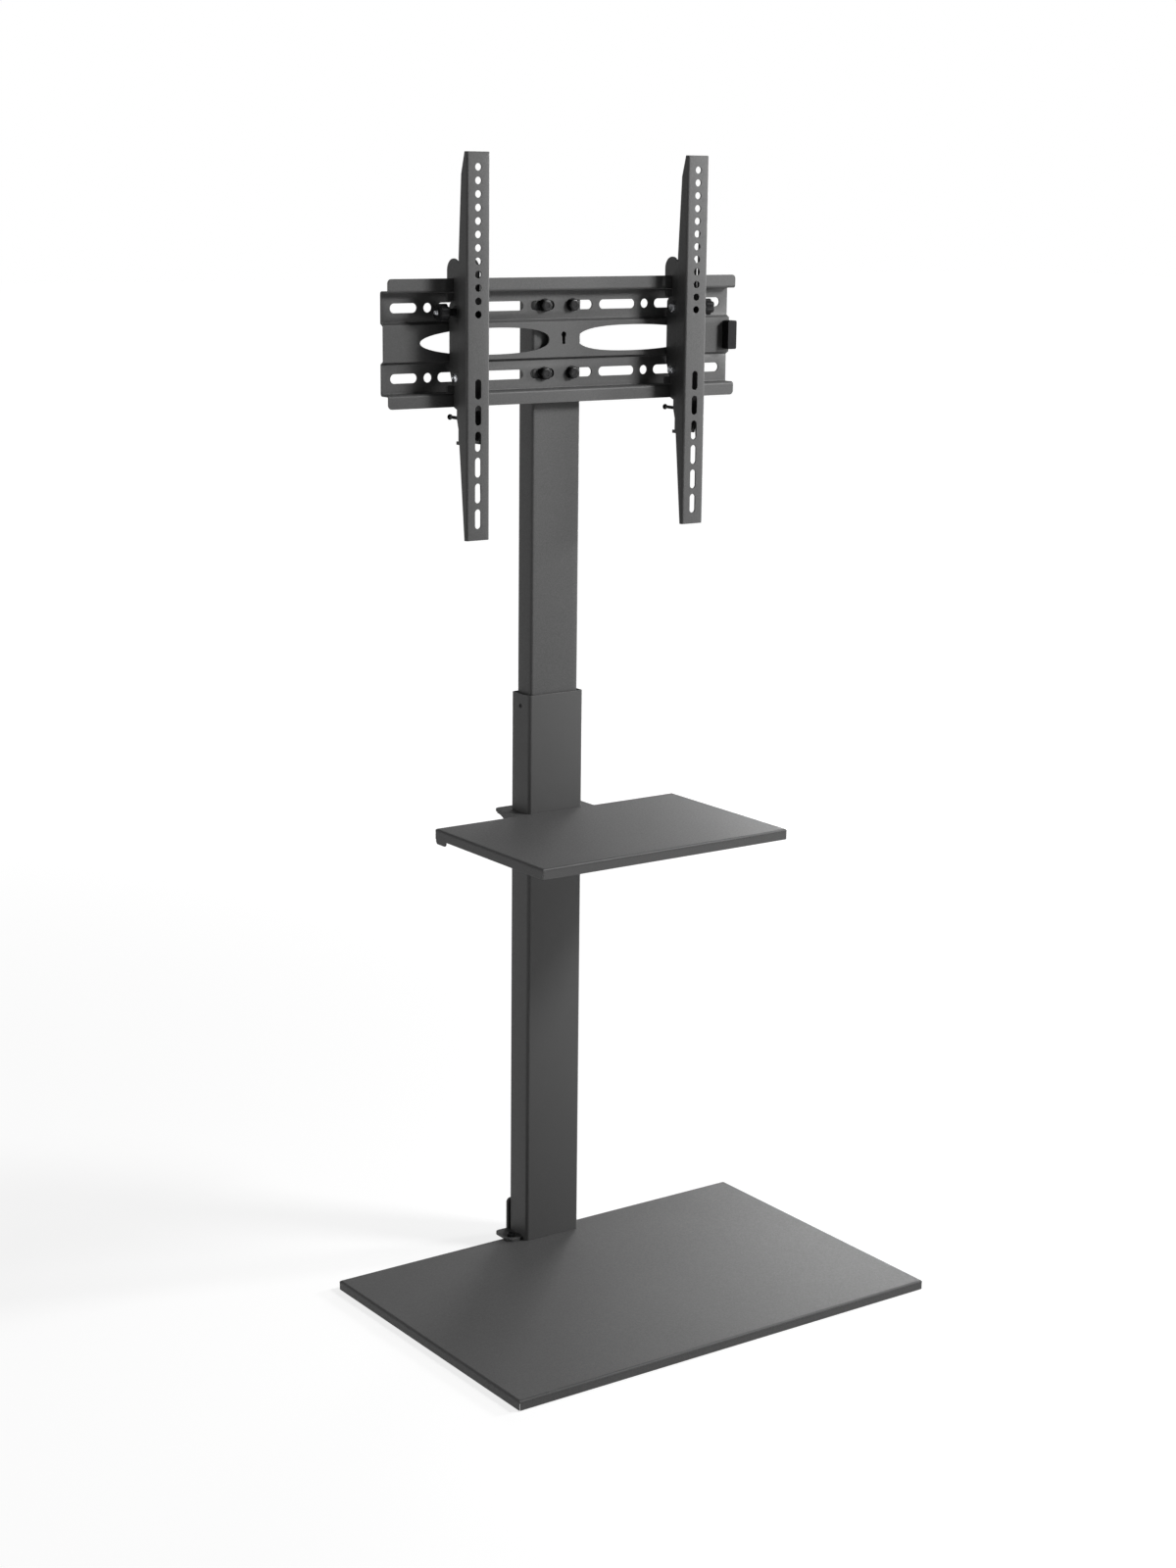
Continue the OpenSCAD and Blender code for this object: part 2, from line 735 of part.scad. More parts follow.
module shelf_nuts() {
    color(zinc) for (x = stud_xs, y = stud_ys)
        translate([x, y, bracket_under - stud_nut_h]) hex_nut(stud_dia, stud_nut_h);
}

module clamp_screws() {
    color(black) for (x = [-1, 1]) translate([x * clamp_span / 2, bracket_end, clamp_z]) rotate([90, 0, 0])
        grub_screw(clamp_dia, bracket_back - seat_gap);
}

module upper_column() {
    color(steel) difference() {
        along_z(mast_z, mast_top) translate([0, column_y]) difference() {
            round_rect(mast_w, mast_d, mast_bend_r + mast_wall);
            round_rect(mast_in_w, mast_in_d, mast_bend_r);
        }
        for (x = [-1, 1], z = [-1, 1])
            translate([x * bolt_span / 2, mast_front - cut, plate_z + z * row_offset]) rotate([-90, 0, 0])
                cylinder(d = plate_bolt_dia + 2 * hole_gap, h = mast_wall + 2 * cut);
    }
}

module mast_guide() {
    color(black) translate([0, column_y]) {
        along_z(mast_z - guide_h, mast_z)
            round_rect(column_in_w - 2 * bush_gap, column_in_d - 2 * bush_gap, column_bend_r + bush_gap);
        along_z(mast_z, mast_z + plug_h) difference() {
            round_rect(mast_in_w - 2 * push_gap, mast_in_d - 2 * push_gap, mast_bend_r);
            round_rect(mast_in_w - 2 * plug_wall, mast_in_d - 2 * plug_wall, mast_bend_r);
        }
    }
}

// A lid with a plug moulded under it, which runs up to half of the lid
module mast_cap() {
    color(black) translate([0, column_y]) union() {
        along_z(mast_top, mast_top + cap_h) round_rect(mast_w, mast_d, mast_bend_r + mast_wall);
        along_z(mast_top - cap_plug, mast_top + cap_h / 2)
            round_rect(mast_in_w - 2 * push_gap, mast_in_d - 2 * push_gap, mast_bend_r);
    }
}

// Inside of a bend whose centre is at the origin, in the corner where both signs are plus
module bend_fill() {
    difference() {
        square(plate_bend_r + plate_sheet / 2);
        circle(plate_bend_r);
    }
}

// What a round corner of radius r takes off the corner where both signs are plus
module round_off(r) {
    difference() {
        square(r + cut);
        circle(r);
    }
}

// Cross-section of the wall plate in depth and height, about the plate's middle
module plate_section() {
    turn = plate_bend_r + plate_sheet;
    step = mid_half + step_run;
    lip_y = mast_front - lip_reach;
    difference() {
        union() {
            polygon([[rail_front - mid_step, mid_half], [rail_front - mid_step, -mid_half],
                [rail_front, -step], [rail_front, -web_out], [mast_front, -web_out],
                [mast_front, step_shift - step], [mast_front - mid_step, step_shift - mid_half],
                [mast_front - mid_step, mid_half - step_shift], [mast_front, step - step_shift],
                [mast_front, web_out], [rail_front, web_out], [rail_front, step]]);
            for (up = [false, true]) {
                translate([lip_y, up ? web_in : -web_out]) square([lip_reach, plate_sheet]);
                translate([lip_y, up ? web_in : -plate_h / 2]) square([plate_sheet, plate_h / 2 - web_in]);
                section_bends(up, turn, lip_y) bend_fill();
            }
        }
        for (up = [false, true]) section_bends(up, turn, lip_y) round_off(turn);
    }
}

// Puts its child in the two bends of the upper or the lower lip
module section_bends(up, turn, lip_y) {
    z = up ? 1 : -1;
    translate([mast_front - turn, z * (web_out - turn)]) rotate(up ? 0 : -90) children();
    translate([lip_y + turn, z * (web_in + turn)]) rotate(up ? 180 : 90) children();
}

// One long window, from its blunt inner end to its elliptical tip
module lens() {
    inner = [for (i = [0 : lens_steps]) let(t = 1 - cos(90 * i / lens_steps))
        [lens_peak_share * t, pow(1 - pow(1 - t, lens_blunt), 1 / lens_blunt)]];
    outer = [for (i = [1 : lens_steps]) let(turn = 90 * i / lens_steps)
        [lens_peak_share + (1 - lens_peak_share) * sin(turn), cos(turn)]];
    upper = concat(inner, outer);
    last = len(upper) - 1;
    polygon(concat([for (p = upper) [lens_in + lens_l * p[0], lens_h / 2 * p[1]]],
        [for (i = [last - 1 : -1 : 1]) [lens_in + lens_l * upper[i][0], -lens_h / 2 * upper[i][1]]]));
}

// Every opening of the wall plate, seen from the front about the plate's middle
module plate_holes() {
    stem = keyhole_h - keyhole_head / 2;
    for (s = [-1, 1]) {
        scale([s, 1]) lens();
        for (z = [-row_offset, row_offset]) {
            translate([s * (centre_slot_in + centre_slot_l / 2), z]) slot(centre_slot_l, row_slot_w);
            for (p = row_slot_share) translate([s * p[0] * plate_w, z]) slot(p[1] * plate_w, row_slot_w);
            for (p = row_hole_share) translate([s * p * plate_w, z]) circle(d = row_slot_w);
        }
    }
    translate([0, stem / 2]) circle(d = keyhole_head);
    translate([-keyhole_stem / 2, -stem / 2]) square([keyhole_stem, stem]);
}

module wall_plate() {
    r = lip_corner_r;
    color(steel) translate([plate_shift, 0, plate_z]) difference() {
        along_x(-plate_w / 2, plate_w / 2) plate_section();
        along_y(mast_front - lip_reach - cut, mast_front + cut) {
            plate_holes();
            for (x = [0, 1], z = [0, 1]) mirror([x, 0]) mirror([0, z])
                translate([plate_w / 2 - r, plate_h / 2 - r]) round_off(r);
        }
    }
}

module plate_bolts() {
    bolt_l = washer_h + plate_sheet + mast_wall + plate_nut_h + washer_h;
    color(black) for (x = [-1, 1], z = [-1, 1])
        translate([x * bolt_span / 2, rail_front - washer_h, plate_z + z * row_offset]) rotate([-90, 0, 0])
            hex_bolt(plate_bolt_dia, bolt_l);
}

module plate_washers() {
    color(zinc) for (x = [-1, 1], z = [-1, 1])
        translate([x * bolt_span / 2, rail_front - washer_h, plate_z + z * row_offset]) rotate([-90, 0, 0])
            difference() {
                cylinder(d = washer_dia, h = washer_h);
                translate([0, 0, -cut]) cylinder(d = plate_bolt_dia + 2 * hole_gap, h = washer_h + 2 * cut);
            }
}

module plate_nuts() {
    color(zinc) for (x = [-1, 1], z = [-1, 1])
        translate([x * bolt_span / 2, mast_front + mast_wall, plate_z + z * row_offset]) rotate([-90, 0, 0])
            hex_nut(plate_bolt_dia, plate_nut_h);
}

module end_cap() {
    outer = plate_end + end_cap_w - end_cap_bite;
    front = rail_front - mid_step - end_cap_front;
    back = mast_front - mid_step + end_cap_wall;
    color(black) difference() {
        along_y(front, back) translate([outer - end_cap_w / 2, plate_z])
            round_rect(end_cap_w, end_cap_h, end_cap_r);
        translate([outer - end_cap_w - cut, rail_front - mid_step - push_gap,
            plate_z - end_cap_h / 2 - cut])
            cube([end_cap_bite + push_gap + cut, plate_sheet + 2 * push_gap, end_cap_h + 2 * cut]);
    }
}

// Side wall of a hanger, in depth and height
module hanger_side() {
    top_k = tilt_rise + slot_half + tilt_dia / 2;
    difference() {
        union() {
            translate(at(lip_front, hook_shoulder)) circle(hook_r);
            polygon([at(lip_front - hook_r, hook_shoulder), at(lip_front - hook_r, web_out),
                at(front_at(top_k), pivot_h + top_k), at(front_at(0), pivot_h),
                at(front_at(toe_low - pivot_h), toe_low), at(toe_in, toe_low), at(toe_in, toe_low + toe_h),
                at(ankle_in, toe_low + toe_h), at(ankle_in, toe_low + toe_h + ankle_h),
                at(heel_in, safety_h), at(heel_in, -plate_h / 2 - rear_slope_end),
                at(lip_gap, -plate_h / 2), at(lip_gap, -web_in + rear_slope_end),
                at(hanger_rear, -web_in + rear_slope_low), at(hanger_rear, web_in - rear_slope_top),
                at(lip_gap, web_in - rear_slope_end), at(lip_gap, plate_h / 2 + seat_gap),
                at(lip_gap + lip_slot_w, plate_h / 2 + seat_gap), at(lip_gap + lip_slot_w, hook_low),
                at(lip_front + hook_r, hook_low), at(lip_front + hook_r, hook_shoulder)]);
        }
        translate(at(lip_gap, hook_low)) square([lip_slot_w, plate_h / 2 + seat_gap - hook_low]);
        translate(at(pivot_in, pivot_h)) {
            circle(d = tilt_dia + 2 * pin_gap);
            tilt_slot();
        }
    }
}

// Curved slot that the tilt bolt runs in, about the pivot
module tilt_slot() {
    low = tilt_angle - tilt_back - tilt_play;
    high = tilt_angle + tilt_forward + tilt_play;
    reach = 2 * tilt_radius;
    intersection() {
        difference() {
            circle(tilt_radius + slot_half);
            circle(tilt_radius - slot_half);
        }
        polygon([[0, 0], reach * [cos(low), sin(low)], reach * [cos(high), sin(high)]]);
    }
    for (a = [low, high]) rotate(a) translate([tilt_radius, 0]) circle(slot_half);
}

// Hanger whose middle is at x
module hanger(x) {
    half = hanger_w / 2;
    color(steel) difference() {
        union() {
            for (side = [-half, half - hanger_sheet])
                along_x(x + side, x + side + hanger_sheet) hanger_side();
            along_x(x - half, x + half) {
                translate(at(hanger_rear - hanger_sheet, -web_in + rear_slope_low))
                    square([hanger_sheet, 2 * web_in - rear_slope_low - rear_slope_top]);
                translate(at(ankle_in - hanger_sheet, toe_low + toe_h))
                    square([hanger_sheet, foot_low * web_h_share]);
            }
            for (side = [-half - tab_l, half - hanger_sheet])
                along_x(x + side, x + side + tab_l + hanger_sheet)
                    for (h = [tab_gap - web_in, web_in - tab_gap - tab_h])
                        translate(at(lip_gap - hanger_sheet, h)) square([hanger_sheet, tab_h]);
        }
        translate(across_at(x - safety_side, ankle_in - hanger_sheet - cut, safety_h)) rotate([-90, 0, 0])
            cylinder(d = safety_dia + 2 * thread_gap, h = hanger_sheet + 2 * cut);
    }
}

module hanger_left() {
    hanger(-arm_left);
}

module hanger_right() {
    hanger(arm_right);
}

module safety_screw(x) {
    head = safety_dia * round_head_h_share;
    color(black) translate(across_at(x - safety_side, safety_end - head, safety_h)) rotate([90, 0, 0])
        round_bolt(safety_dia, safety_l - head);
}

module safety_screw_left() {
    safety_screw(-arm_left);
}

module safety_screw_right() {
    safety_screw(arm_right);
}

// Rectangle from y = 0 with its two corners there rounded
module round_front(w, depth, r) {
    translate([0, depth]) mirror([0, 1]) arch(w, depth, r);
}

// Side view of an arm, in depth and height
module arm_side() {
    polygon(concat([at(0, arm_rise), at(arm_tip, arm_rise)],
        [for (p = arm_taper_share) at(arm_depth * p[1], arm_rise - arm_l * p[0])],
        [at(arm_tip, arm_rise - arm_l), at(0, arm_rise - arm_l)]));
}

// Ear of an arm's side wall that holds a bolt at that depth and height
module arm_ear(a, h) {
    translate(at(a, h)) circle(ear_r);
    translate(at(arm_depth / 2, h - ear_r)) square([a - arm_depth / 2, 2 * ear_r]);
}

// Arm whose middle is at x
module screen_arm(x) {
    first = arm_rise - hole_in;
    bolts = [[pivot_in, pivot_h], [tilt_in, tilt_h]];
    color(steel) difference() {
        union() {
            intersection() {
                along_z(arm_bottom, arm_top) translate([x, arm_front]) difference() {
                    round_front(arm_w, arm_depth + cut, arm_bend_r + arm_sheet);
                    translate([0, arm_sheet]) round_front(arm_in, arm_depth + cut, arm_bend_r);
                }
                along_x(x - arm_w, x + arm_w) arm_side();
            }
            for (side = [-arm_w / 2, arm_w / 2 - arm_sheet], p = bolts)
                along_x(x + side, x + side + arm_sheet) arm_ear(p[0], p[1]);
        }
        for (i = [0 : hole_count - 1])
            translate(across_at(x, -cut, first - i * hole_pitch)) rotate([-90, 0, 0])
                cylinder(d = hole_dia, h = arm_sheet + 2 * cut);
        along_y(arm_front - cut, arm_front + arm_sheet + cut) for (i = [0 : slot_count - 1])
            translate([x, plate_z + first - screen_pitch + i * slot_pitch]) rotate(90) slot(slot_l, slot_w);
        for (p = bolts) translate(across_at(x - arm_w / 2 - cut, p[0], p[1])) rotate([0, 90, 0])
            cylinder(d = tilt_dia + 2 * thread_gap, h = arm_w + 2 * cut);
    }
}

module screen_arm_left() {
    screen_arm(-arm_left);
}

module screen_arm_right() {
    screen_arm(arm_right);
}

// Pivot bolt with its head on the outer side, which is -1 for left and 1 for right
module pivot_bolt(x, side) {
    color(zinc) translate(across_at(x + side * arm_w / 2, pivot_in, pivot_h)) rotate([0, -side * 90, 0])
        round_bolt(tilt_dia, arm_w + tilt_dia * nut_h_share + thread_gap);
}

module pivot_bolt_left() {
    pivot_bolt(-arm_left, -1);
}

module pivot_bolt_right() {
    pivot_bolt(arm_right, 1);
}

module pivot_nut(x, side) {
    color(zinc) translate(across_at(x - side * arm_w / 2, pivot_in, pivot_h)) rotate([0, -side * 90, 0])
        hex_nut(tilt_dia, tilt_dia * nut_h_share);
}

module pivot_nut_left() {
    pivot_nut(-arm_left, -1);
}

module pivot_nut_right() {
    pivot_nut(arm_right, 1);
}

// Tilt bolt with its head on the inner side
module tilt_bolt(x, side) {
    color(zinc) translate(across_at(x - side * arm_w / 2, tilt_in, tilt_h)) rotate([0, side * 90, 0])
        hex_bolt(tilt_dia, arm_w + seat_gap + knob_neck + knob_grip + knob_crown + bolt_tip);
}

module tilt_bolt_left() {
    tilt_bolt(-arm_left, -1);
}

module tilt_bolt_right() {
    tilt_bolt(arm_right, 1);
}

// Knob on the outer end of a tilt bolt: neck, lobed grip and crown
module tilt_knob(x, side) {
    r = knob_dia / 2;
    color(black) translate(across_at(x + side * (arm_w / 2 + seat_gap), tilt_in, tilt_h))
        rotate([0, side * 90, 0]) difference() {
            union() {
                cylinder(r = r * neck_share, h = knob_neck);
                translate([0, 0, knob_neck]) {
                    cylinder(r = r * core_share, h = knob_grip);
                    cylinder(r = r * crown_share, h = knob_grip + knob_crown);
                    for (i = [0 : knob_lobes - 1]) rotate(360 * i / knob_lobes)
                        translate([r - r * lobe_share, 0, 0]) cylinder(r = r * lobe_share, h = knob_grip);
                }
            }
            translate([0, 0, -cut])
                cylinder(d = tilt_dia + 2 * pin_gap, h = knob_neck + knob_grip + knob_crown + 2 * cut);
        }
}

module tilt_knob_left() {
    tilt_knob(-arm_left, -1);
}

module tilt_knob_right() {
    tilt_knob(arm_right, 1);
}

floor_plate();
floor_plate_ribs();
floor_plate_anchor();
floor_pads();
foot_bracket();
foot_bolt();
leg_bolts();
base_bolts();
lower_column();
column_foot_block();
column_bush();
lock_screws();
shelf_tray();
shelf_bracket();
shelf_studs();
shelf_nuts();
clamp_screws();
upper_column();
mast_guide();
mast_cap();
wall_plate();
plate_bolts();
plate_washers();
plate_nuts();
end_cap();
hanger_left();
hanger_right();
safety_screw_left();
safety_screw_right();
screen_arm_left();
screen_arm_right();
pivot_bolt_left();
pivot_bolt_right();
pivot_nut_left();
pivot_nut_right();
tilt_bolt_left();
tilt_bolt_right();
tilt_knob_left();
tilt_knob_right();
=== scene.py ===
import json
import math

import bmesh
import bpy
from mathutils import Matrix, Vector


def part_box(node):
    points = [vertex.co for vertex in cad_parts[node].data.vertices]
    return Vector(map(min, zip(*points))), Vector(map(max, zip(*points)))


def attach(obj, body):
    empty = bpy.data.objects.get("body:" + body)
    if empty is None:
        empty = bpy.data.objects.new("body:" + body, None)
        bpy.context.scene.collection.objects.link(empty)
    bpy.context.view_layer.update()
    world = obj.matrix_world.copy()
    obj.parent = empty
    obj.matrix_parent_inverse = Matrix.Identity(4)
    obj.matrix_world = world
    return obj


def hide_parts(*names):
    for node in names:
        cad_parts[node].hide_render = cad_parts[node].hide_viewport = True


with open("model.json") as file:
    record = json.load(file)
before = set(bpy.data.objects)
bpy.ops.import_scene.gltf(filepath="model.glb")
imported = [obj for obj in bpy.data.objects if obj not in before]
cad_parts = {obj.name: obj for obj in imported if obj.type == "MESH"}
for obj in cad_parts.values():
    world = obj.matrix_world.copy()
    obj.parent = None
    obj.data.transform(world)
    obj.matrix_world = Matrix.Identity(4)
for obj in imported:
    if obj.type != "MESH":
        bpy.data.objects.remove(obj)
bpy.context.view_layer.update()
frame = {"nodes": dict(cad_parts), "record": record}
nodes = frame["nodes"]
bodyOf = {n: body for body, members in frame["record"]["behaviour"]["bodies"].items() for n in members}
scene = bpy.context.scene
mm = 0.001
samePoint = 0.002 * mm  # points nearer than this are one
hexCorner = 1.1547  # a hexagon's corner, as a share of its flat
socketFlat = 0.866  # a hexagon's flat, as a share of its corner
smoothBelow = {"sheet": 32, "turned": 28, "weld": 60}  # degrees


def link(obj):
    scene.collection.objects.link(obj)
    return obj


def baked(obj):
    # the object's mesh with its modifiers worked in
    bpy.context.view_layer.update()
    return bpy.data.meshes.new_from_object(obj.evaluated_get(bpy.context.evaluated_depsgraph_get()))


def smooth(mesh, angle):
    for face in mesh.polygons:
        face.use_smooth = True
    mesh.set_sharp_from_angle(angle=math.radians(angle))


def addNode(tree, kind, inputs=None, **settings):
    # a new node, each input linked to a socket or set to a value
    node = tree.nodes.new(kind)
    for key, value in settings.items():
        setattr(node, key, value)
    for key, value in (inputs or {}).items():
        if isinstance(value, bpy.types.NodeSocket):
            tree.links.new(value, node.inputs[key])
        else:
            node.inputs[key].default_value = value
    return node


def finishPiece(name, plain, body, replaced=()):
    # makes a plain mesh a piece of the object, with each material named once
    materials = []
    for m in plain.materials:
        if m not in materials:
            materials.append(m)
    place = [materials.index(m) for m in plain.materials]
    work = bmesh.new()
    work.from_mesh(plain)
    for face in work.faces:
        face.material_index = place[min(face.material_index, len(place) - 1)]
    mesh = bpy.data.meshes.new(name)
    work.to_mesh(mesh)
    work.free()
    for m in materials:
        mesh.materials.append(m)
    piece = link(bpy.data.objects.new(name, mesh))
    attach(piece, body)
    if replaced:
        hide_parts(*replaced)


# camera: place and turn found from the corners of the stand in the photograph
photoView = {
    "eye": (-1.8086, -2.4639, 1.3332),
    "yaw": -35.294,
    "pitch": -12.807,
    "roll": 0.62,
    "focalPixels": 2692.6,
    "longSidePixels": 1600,
    "sensor": 36,
    "clipEnd": 100,
}


def makeCamera(view):
    yaw, pitch, roll = (math.radians(view[k]) for k in ("yaw", "pitch", "roll"))
    ahead = Vector((-math.sin(yaw) * math.cos(pitch), math.cos(yaw) * math.cos(pitch), math.sin(pitch)))
    right = Vector((math.cos(yaw), math.sin(yaw), 0))
    up = right.cross(ahead)
    sideways = right * math.cos(roll) + up * math.sin(roll)
    upright = up * math.cos(roll) - right * math.sin(roll)
    data = bpy.data.cameras.new("photoCamera")
    data.sensor_width = view["sensor"]
    data.lens = view["focalPixels"] / view["longSidePixels"] * view["sensor"]
    data.clip_end = view["clipEnd"]
    camera = link(bpy.data.objects.new("photoCamera", data))
    turn = Matrix((sideways, upright, -ahead)).transposed()
    camera.matrix_world = Matrix.Translation(Vector(view["eye"])) @ turn.to_4x4()
    scene.camera = camera


# studio: pale floor, soft lamps, and surroundings that look white but give little light
studio = {
    "aim": (0, 0.1, 0.75),
    "surroundings": 0.02,
    "roomGloss": 0.4,
    "floorSize": 60,
    "floorTone": 0.3,
    "floorGlow": 0.8,
    "floorFarGlow": 1.0,
    "floorGloss": 1.0,
    "floorRise": (0.6, 4.5),
    "lamps": {
        "keyNear": {"place": (1.3, -1.2, 1.9), "size": 0.5, "power": 40},
        "keySide": {"place": (3.4, -0.9, 1.5), "size": 0.5, "power": 62},
        "keyFar": {"place": (3.0, -1.5, 2.6), "size": 0.9, "power": 14},
        "backRight": {"place": (3.2, 2.6, 1.2), "size": 1.4, "power": 49},
        "leftFill": {"place": (-3.4, 0.6, 1.4), "size": 1.6, "power": 20},
        "lowFront": {"place": (2.4, -3.0, 0.4), "size": 0.8, "power": 12},
    },
}


def seenByEye(tree, glossShare):
    # 1 for rays from the camera and through glass, less for gloss
    path = addNode(tree, "ShaderNodeLightPath").outputs
    gloss = addNode(tree, "ShaderNodeMath", {0: path["Is Glossy Ray"], 1: glossShare}, operation="MULTIPLY")
    direct = {0: path["Is Camera Ray"], 1: gloss.outputs[0]}
    seen = addNode(tree, "ShaderNodeMath", direct, operation="MAXIMUM")
    either = {0: seen.outputs[0], 1: path["Is Transmission Ray"]}
    return addNode(tree, "ShaderNodeMath", either, operation="MAXIMUM").outputs[0]


def makeWorld(look):
    world = bpy.data.worlds.new("whiteRoom")
    world.use_nodes = True
    scene.world = world
    tree = world.node_tree
    tree.nodes.clear()
    white = (1, 1, 1, 1)
    dim, full = (addNode(tree, "ShaderNodeBackground", {"Color": white, "Strength": strength}).outputs[0]
                 for strength in (look["surroundings"], 1))
    mix = addNode(tree, "ShaderNodeMixShader", {0: seenByEye(tree, look["roomGloss"]), 1: dim, 2: full})
    addNode(tree, "ShaderNodeOutputWorld", {"Surface": mix.outputs[0]})


def makeFloor(look):
    paper = bpy.data.materials.new("paleFloor")
    paper.use_nodes = True
    tree = paper.node_tree
    tree.nodes.clear()
    matt = addNode(tree, "ShaderNodeBsdfDiffuse", {"Color": (*[look["floorTone"]] * 3, 1)})
    place = addNode(tree, "ShaderNodeTexCoord")
    away = addNode(tree, "ShaderNodeVectorMath", {0: place.outputs["Object"]}, operation="LENGTH")
    # the lamps fall off with distance, so the glow rises
    near, far = look["floorRise"]
    levels = {0: away.outputs["Value"], 1: near, 2: far, 3: look["floorGlow"], 4: look["floorFarGlow"]}
    rise = addNode(tree, "ShaderNodeMapRange", levels, interpolation_type="SMOOTHSTEP")
    seen = {0: seenByEye(tree, look["floorGloss"]), 1: rise.outputs[0]}
    strength = addNode(tree, "ShaderNodeMath", seen, operation="MULTIPLY")
    glow = addNode(tree, "ShaderNodeEmission", {"Strength": strength.outputs[0]})
    add = addNode(tree, "ShaderNodeAddShader", {0: matt.outputs[0], 1: glow.outputs[0]})
    addNode(tree, "ShaderNodeOutputMaterial", {"Surface": add.outputs[0]})

    half = look["floorSize"] / 2
    mesh = bpy.data.meshes.new("floor")
    corners = [(-half, -half, 0), (half, -half, 0), (half, half, 0), (-half, half, 0)]
    mesh.from_pydata(corners, [], [(0, 1, 2, 3)])
    mesh.materials.append(paper)
    link(bpy.data.objects.new("floor", mesh))


def makeLamps(look):
    for name, lamp in look["lamps"].items():
        data = bpy.data.lights.new(name, "AREA")
        data.shape = "DISK"
        data.size = lamp["size"]
        data.energy = lamp["power"]
        holder = link(bpy.data.objects.new(name, data))
        holder.location = lamp["place"]
        toward = Vector(look["aim"]) - Vector(lamp["place"])
        holder.rotation_euler = toward.to_track_quat("-Z", "Y").to_euler()


makeCamera(photoView)
scene.view_settings.view_transform = "Standard"
makeWorld(studio)
makeFloor(studio)
makeLamps(studio)
print("camera and studio ready")


# finishes: every one is worked out from the place on the object, in metres
class Finish:
    def __init__(self, name):
        self.material = bpy.data.materials.new(name)
        self.material.use_nodes = True
        self.tree = self.material.node_tree
        self.shader = self.tree.nodes["Principled BSDF"]
        self.place = self.add("ShaderNodeTexCoord").outputs["Object"]

    def add(self, kind, inputs=None, **settings):
        return addNode(self.tree, kind, inputs, **settings)

    def noise(self, scale, detail, stretch=None):
        place = self.place
        if stretch:
            place = self.add("ShaderNodeMapping", {"Vector": place, "Scale": stretch}).outputs["Vector"]
        inputs = {"Vector": place, "Scale": scale, "Detail": detail}
        return self.add("ShaderNodeTexNoise", inputs).outputs["Fac"]

    def cells(self, scale):
        inputs = {"Vector": self.place, "Scale": scale}
        return self.add("ShaderNodeTexVoronoi", inputs, feature="SMOOTH_F1").outputs["Distance"]

    def spread(self, value, low, high, start=0.3, end=0.7):
        return self.add("ShaderNodeMapRange", {0: value, 1: start, 2: end, 3: low, 4: high}).outputs[0]

    def blend(self, factor, first, second):
        inputs = {0: factor}
        for index, colour in ((6, first), (7, second)):
            inputs[index] = (*colour, 1) if isinstance(colour, (tuple, list)) else colour
        return self.add("ShaderNodeMix", inputs, data_type="RGBA").outputs[2]

    def bump(self, height, strength, distance, under=None):
        inputs = {"Height": height, "Strength": strength, "Distance": distance}
        if under is not None:
            inputs["Normal"] = under
        return self.add("ShaderNodeBump", inputs).outputs["Normal"]

    def set(self, socket, value):
        self.shader.inputs[socket].default_value = value

    def give(self, socket, output):
        self.tree.links.new(output, self.shader.inputs[socket])


# noise is given as scale, detail and stretch; bumps as pattern, its values, strength and depth
finishLooks = {
    # baked powder: fine orange peel, a few brighter grains, slightly uneven gloss
    "powder": {
        "cloud": (7, 3), "shades": (0.93, 1.07), "grain": (1100, 2), "grainFrom": (0.35, 0.75),
        "gloss": (420, 3), "roughness": (0.46, 0.58), "set": {"Specular IOR Level": 0.35},
        "bumps": (("noise", (650, 2), 0.35, 0.0002), ("cells", (1500,), 0.25, 0.00012)),
    },
    # moulded plastic: spark-eroded grain with a faint flow pattern
    "plastic": {
        "cloud": (35, 3, (1, 1, 0.3)), "shades": (0.5, 0.9),
        "gloss": (300, 2), "roughness": (0.5, 0.66), "set": {"Specular IOR Level": 0.12},
        "bumps": (("cells", (1900,), 0.3, 0.0001),),
    },
    # oxide-blacked screws: satin, with rubbed edges on the high spots
    "steel": {
        "cloud": (500, 4), "cloudFrom": (0.55, 0.85), "shades": (0.4, 1.6),
        "gloss": (260, 2), "roughness": (0.26, 0.38), "set": {"Specular IOR Level": 0.2},
        "bumps": (("noise", (1600, 2), 0.12, 0.00005),),
    },
    # zinc plate: brushed under the plate, with pale passivation clouds
    "zinc": {
        "cloud": (90, 4), "shades": (1, 1.25),
        "gloss": (700, 2, (1, 0.15, 1)), "roughness": (0.22, 0.4), "set": {"Metallic": 1},
        "bumps": (("noise", (900, 2, (1, 0.2, 1)), 0.15, 0.00005),),
    },
    # moulded rubber with a dusty bloom
    "rubber": {
        "cloud": (60, 4), "shades": (1, 3),
        "gloss": (200, 2), "roughness": (0.7, 0.9), "set": {},
        "bumps": (("noise", (800, 3), 0.3, 0.0001),),
    },
}


def makeFinish(name, look, tone, pale=None):
    made = Finish(name)
    cloud = made.spread(made.noise(*look["cloud"]), 0, 1, *look.get("cloudFrom", ()))
    colour = made.blend(cloud, *([min(1, c * shade) for c in tone] for shade in look["shades"]))
    if pale is not None:
        grain = made.spread(made.noise(*look["grain"]), 0, 1, *look["grainFrom"])
        colour = made.blend(grain, colour, pale)
    made.give("Base Color", colour)
    made.give("Roughness", made.spread(made.noise(*look["gloss"]), *look["roughness"]))
    patterns = {"noise": made.noise, "cells": made.cells}
    normal = None
    for pattern, values, strength, depth in look["bumps"]:
        normal = made.bump(patterns[pattern](*values), strength, depth, normal)
    made.give("Normal", normal)
    for socket, value in look["set"].items():
        made.set(socket, value)
    return made.material


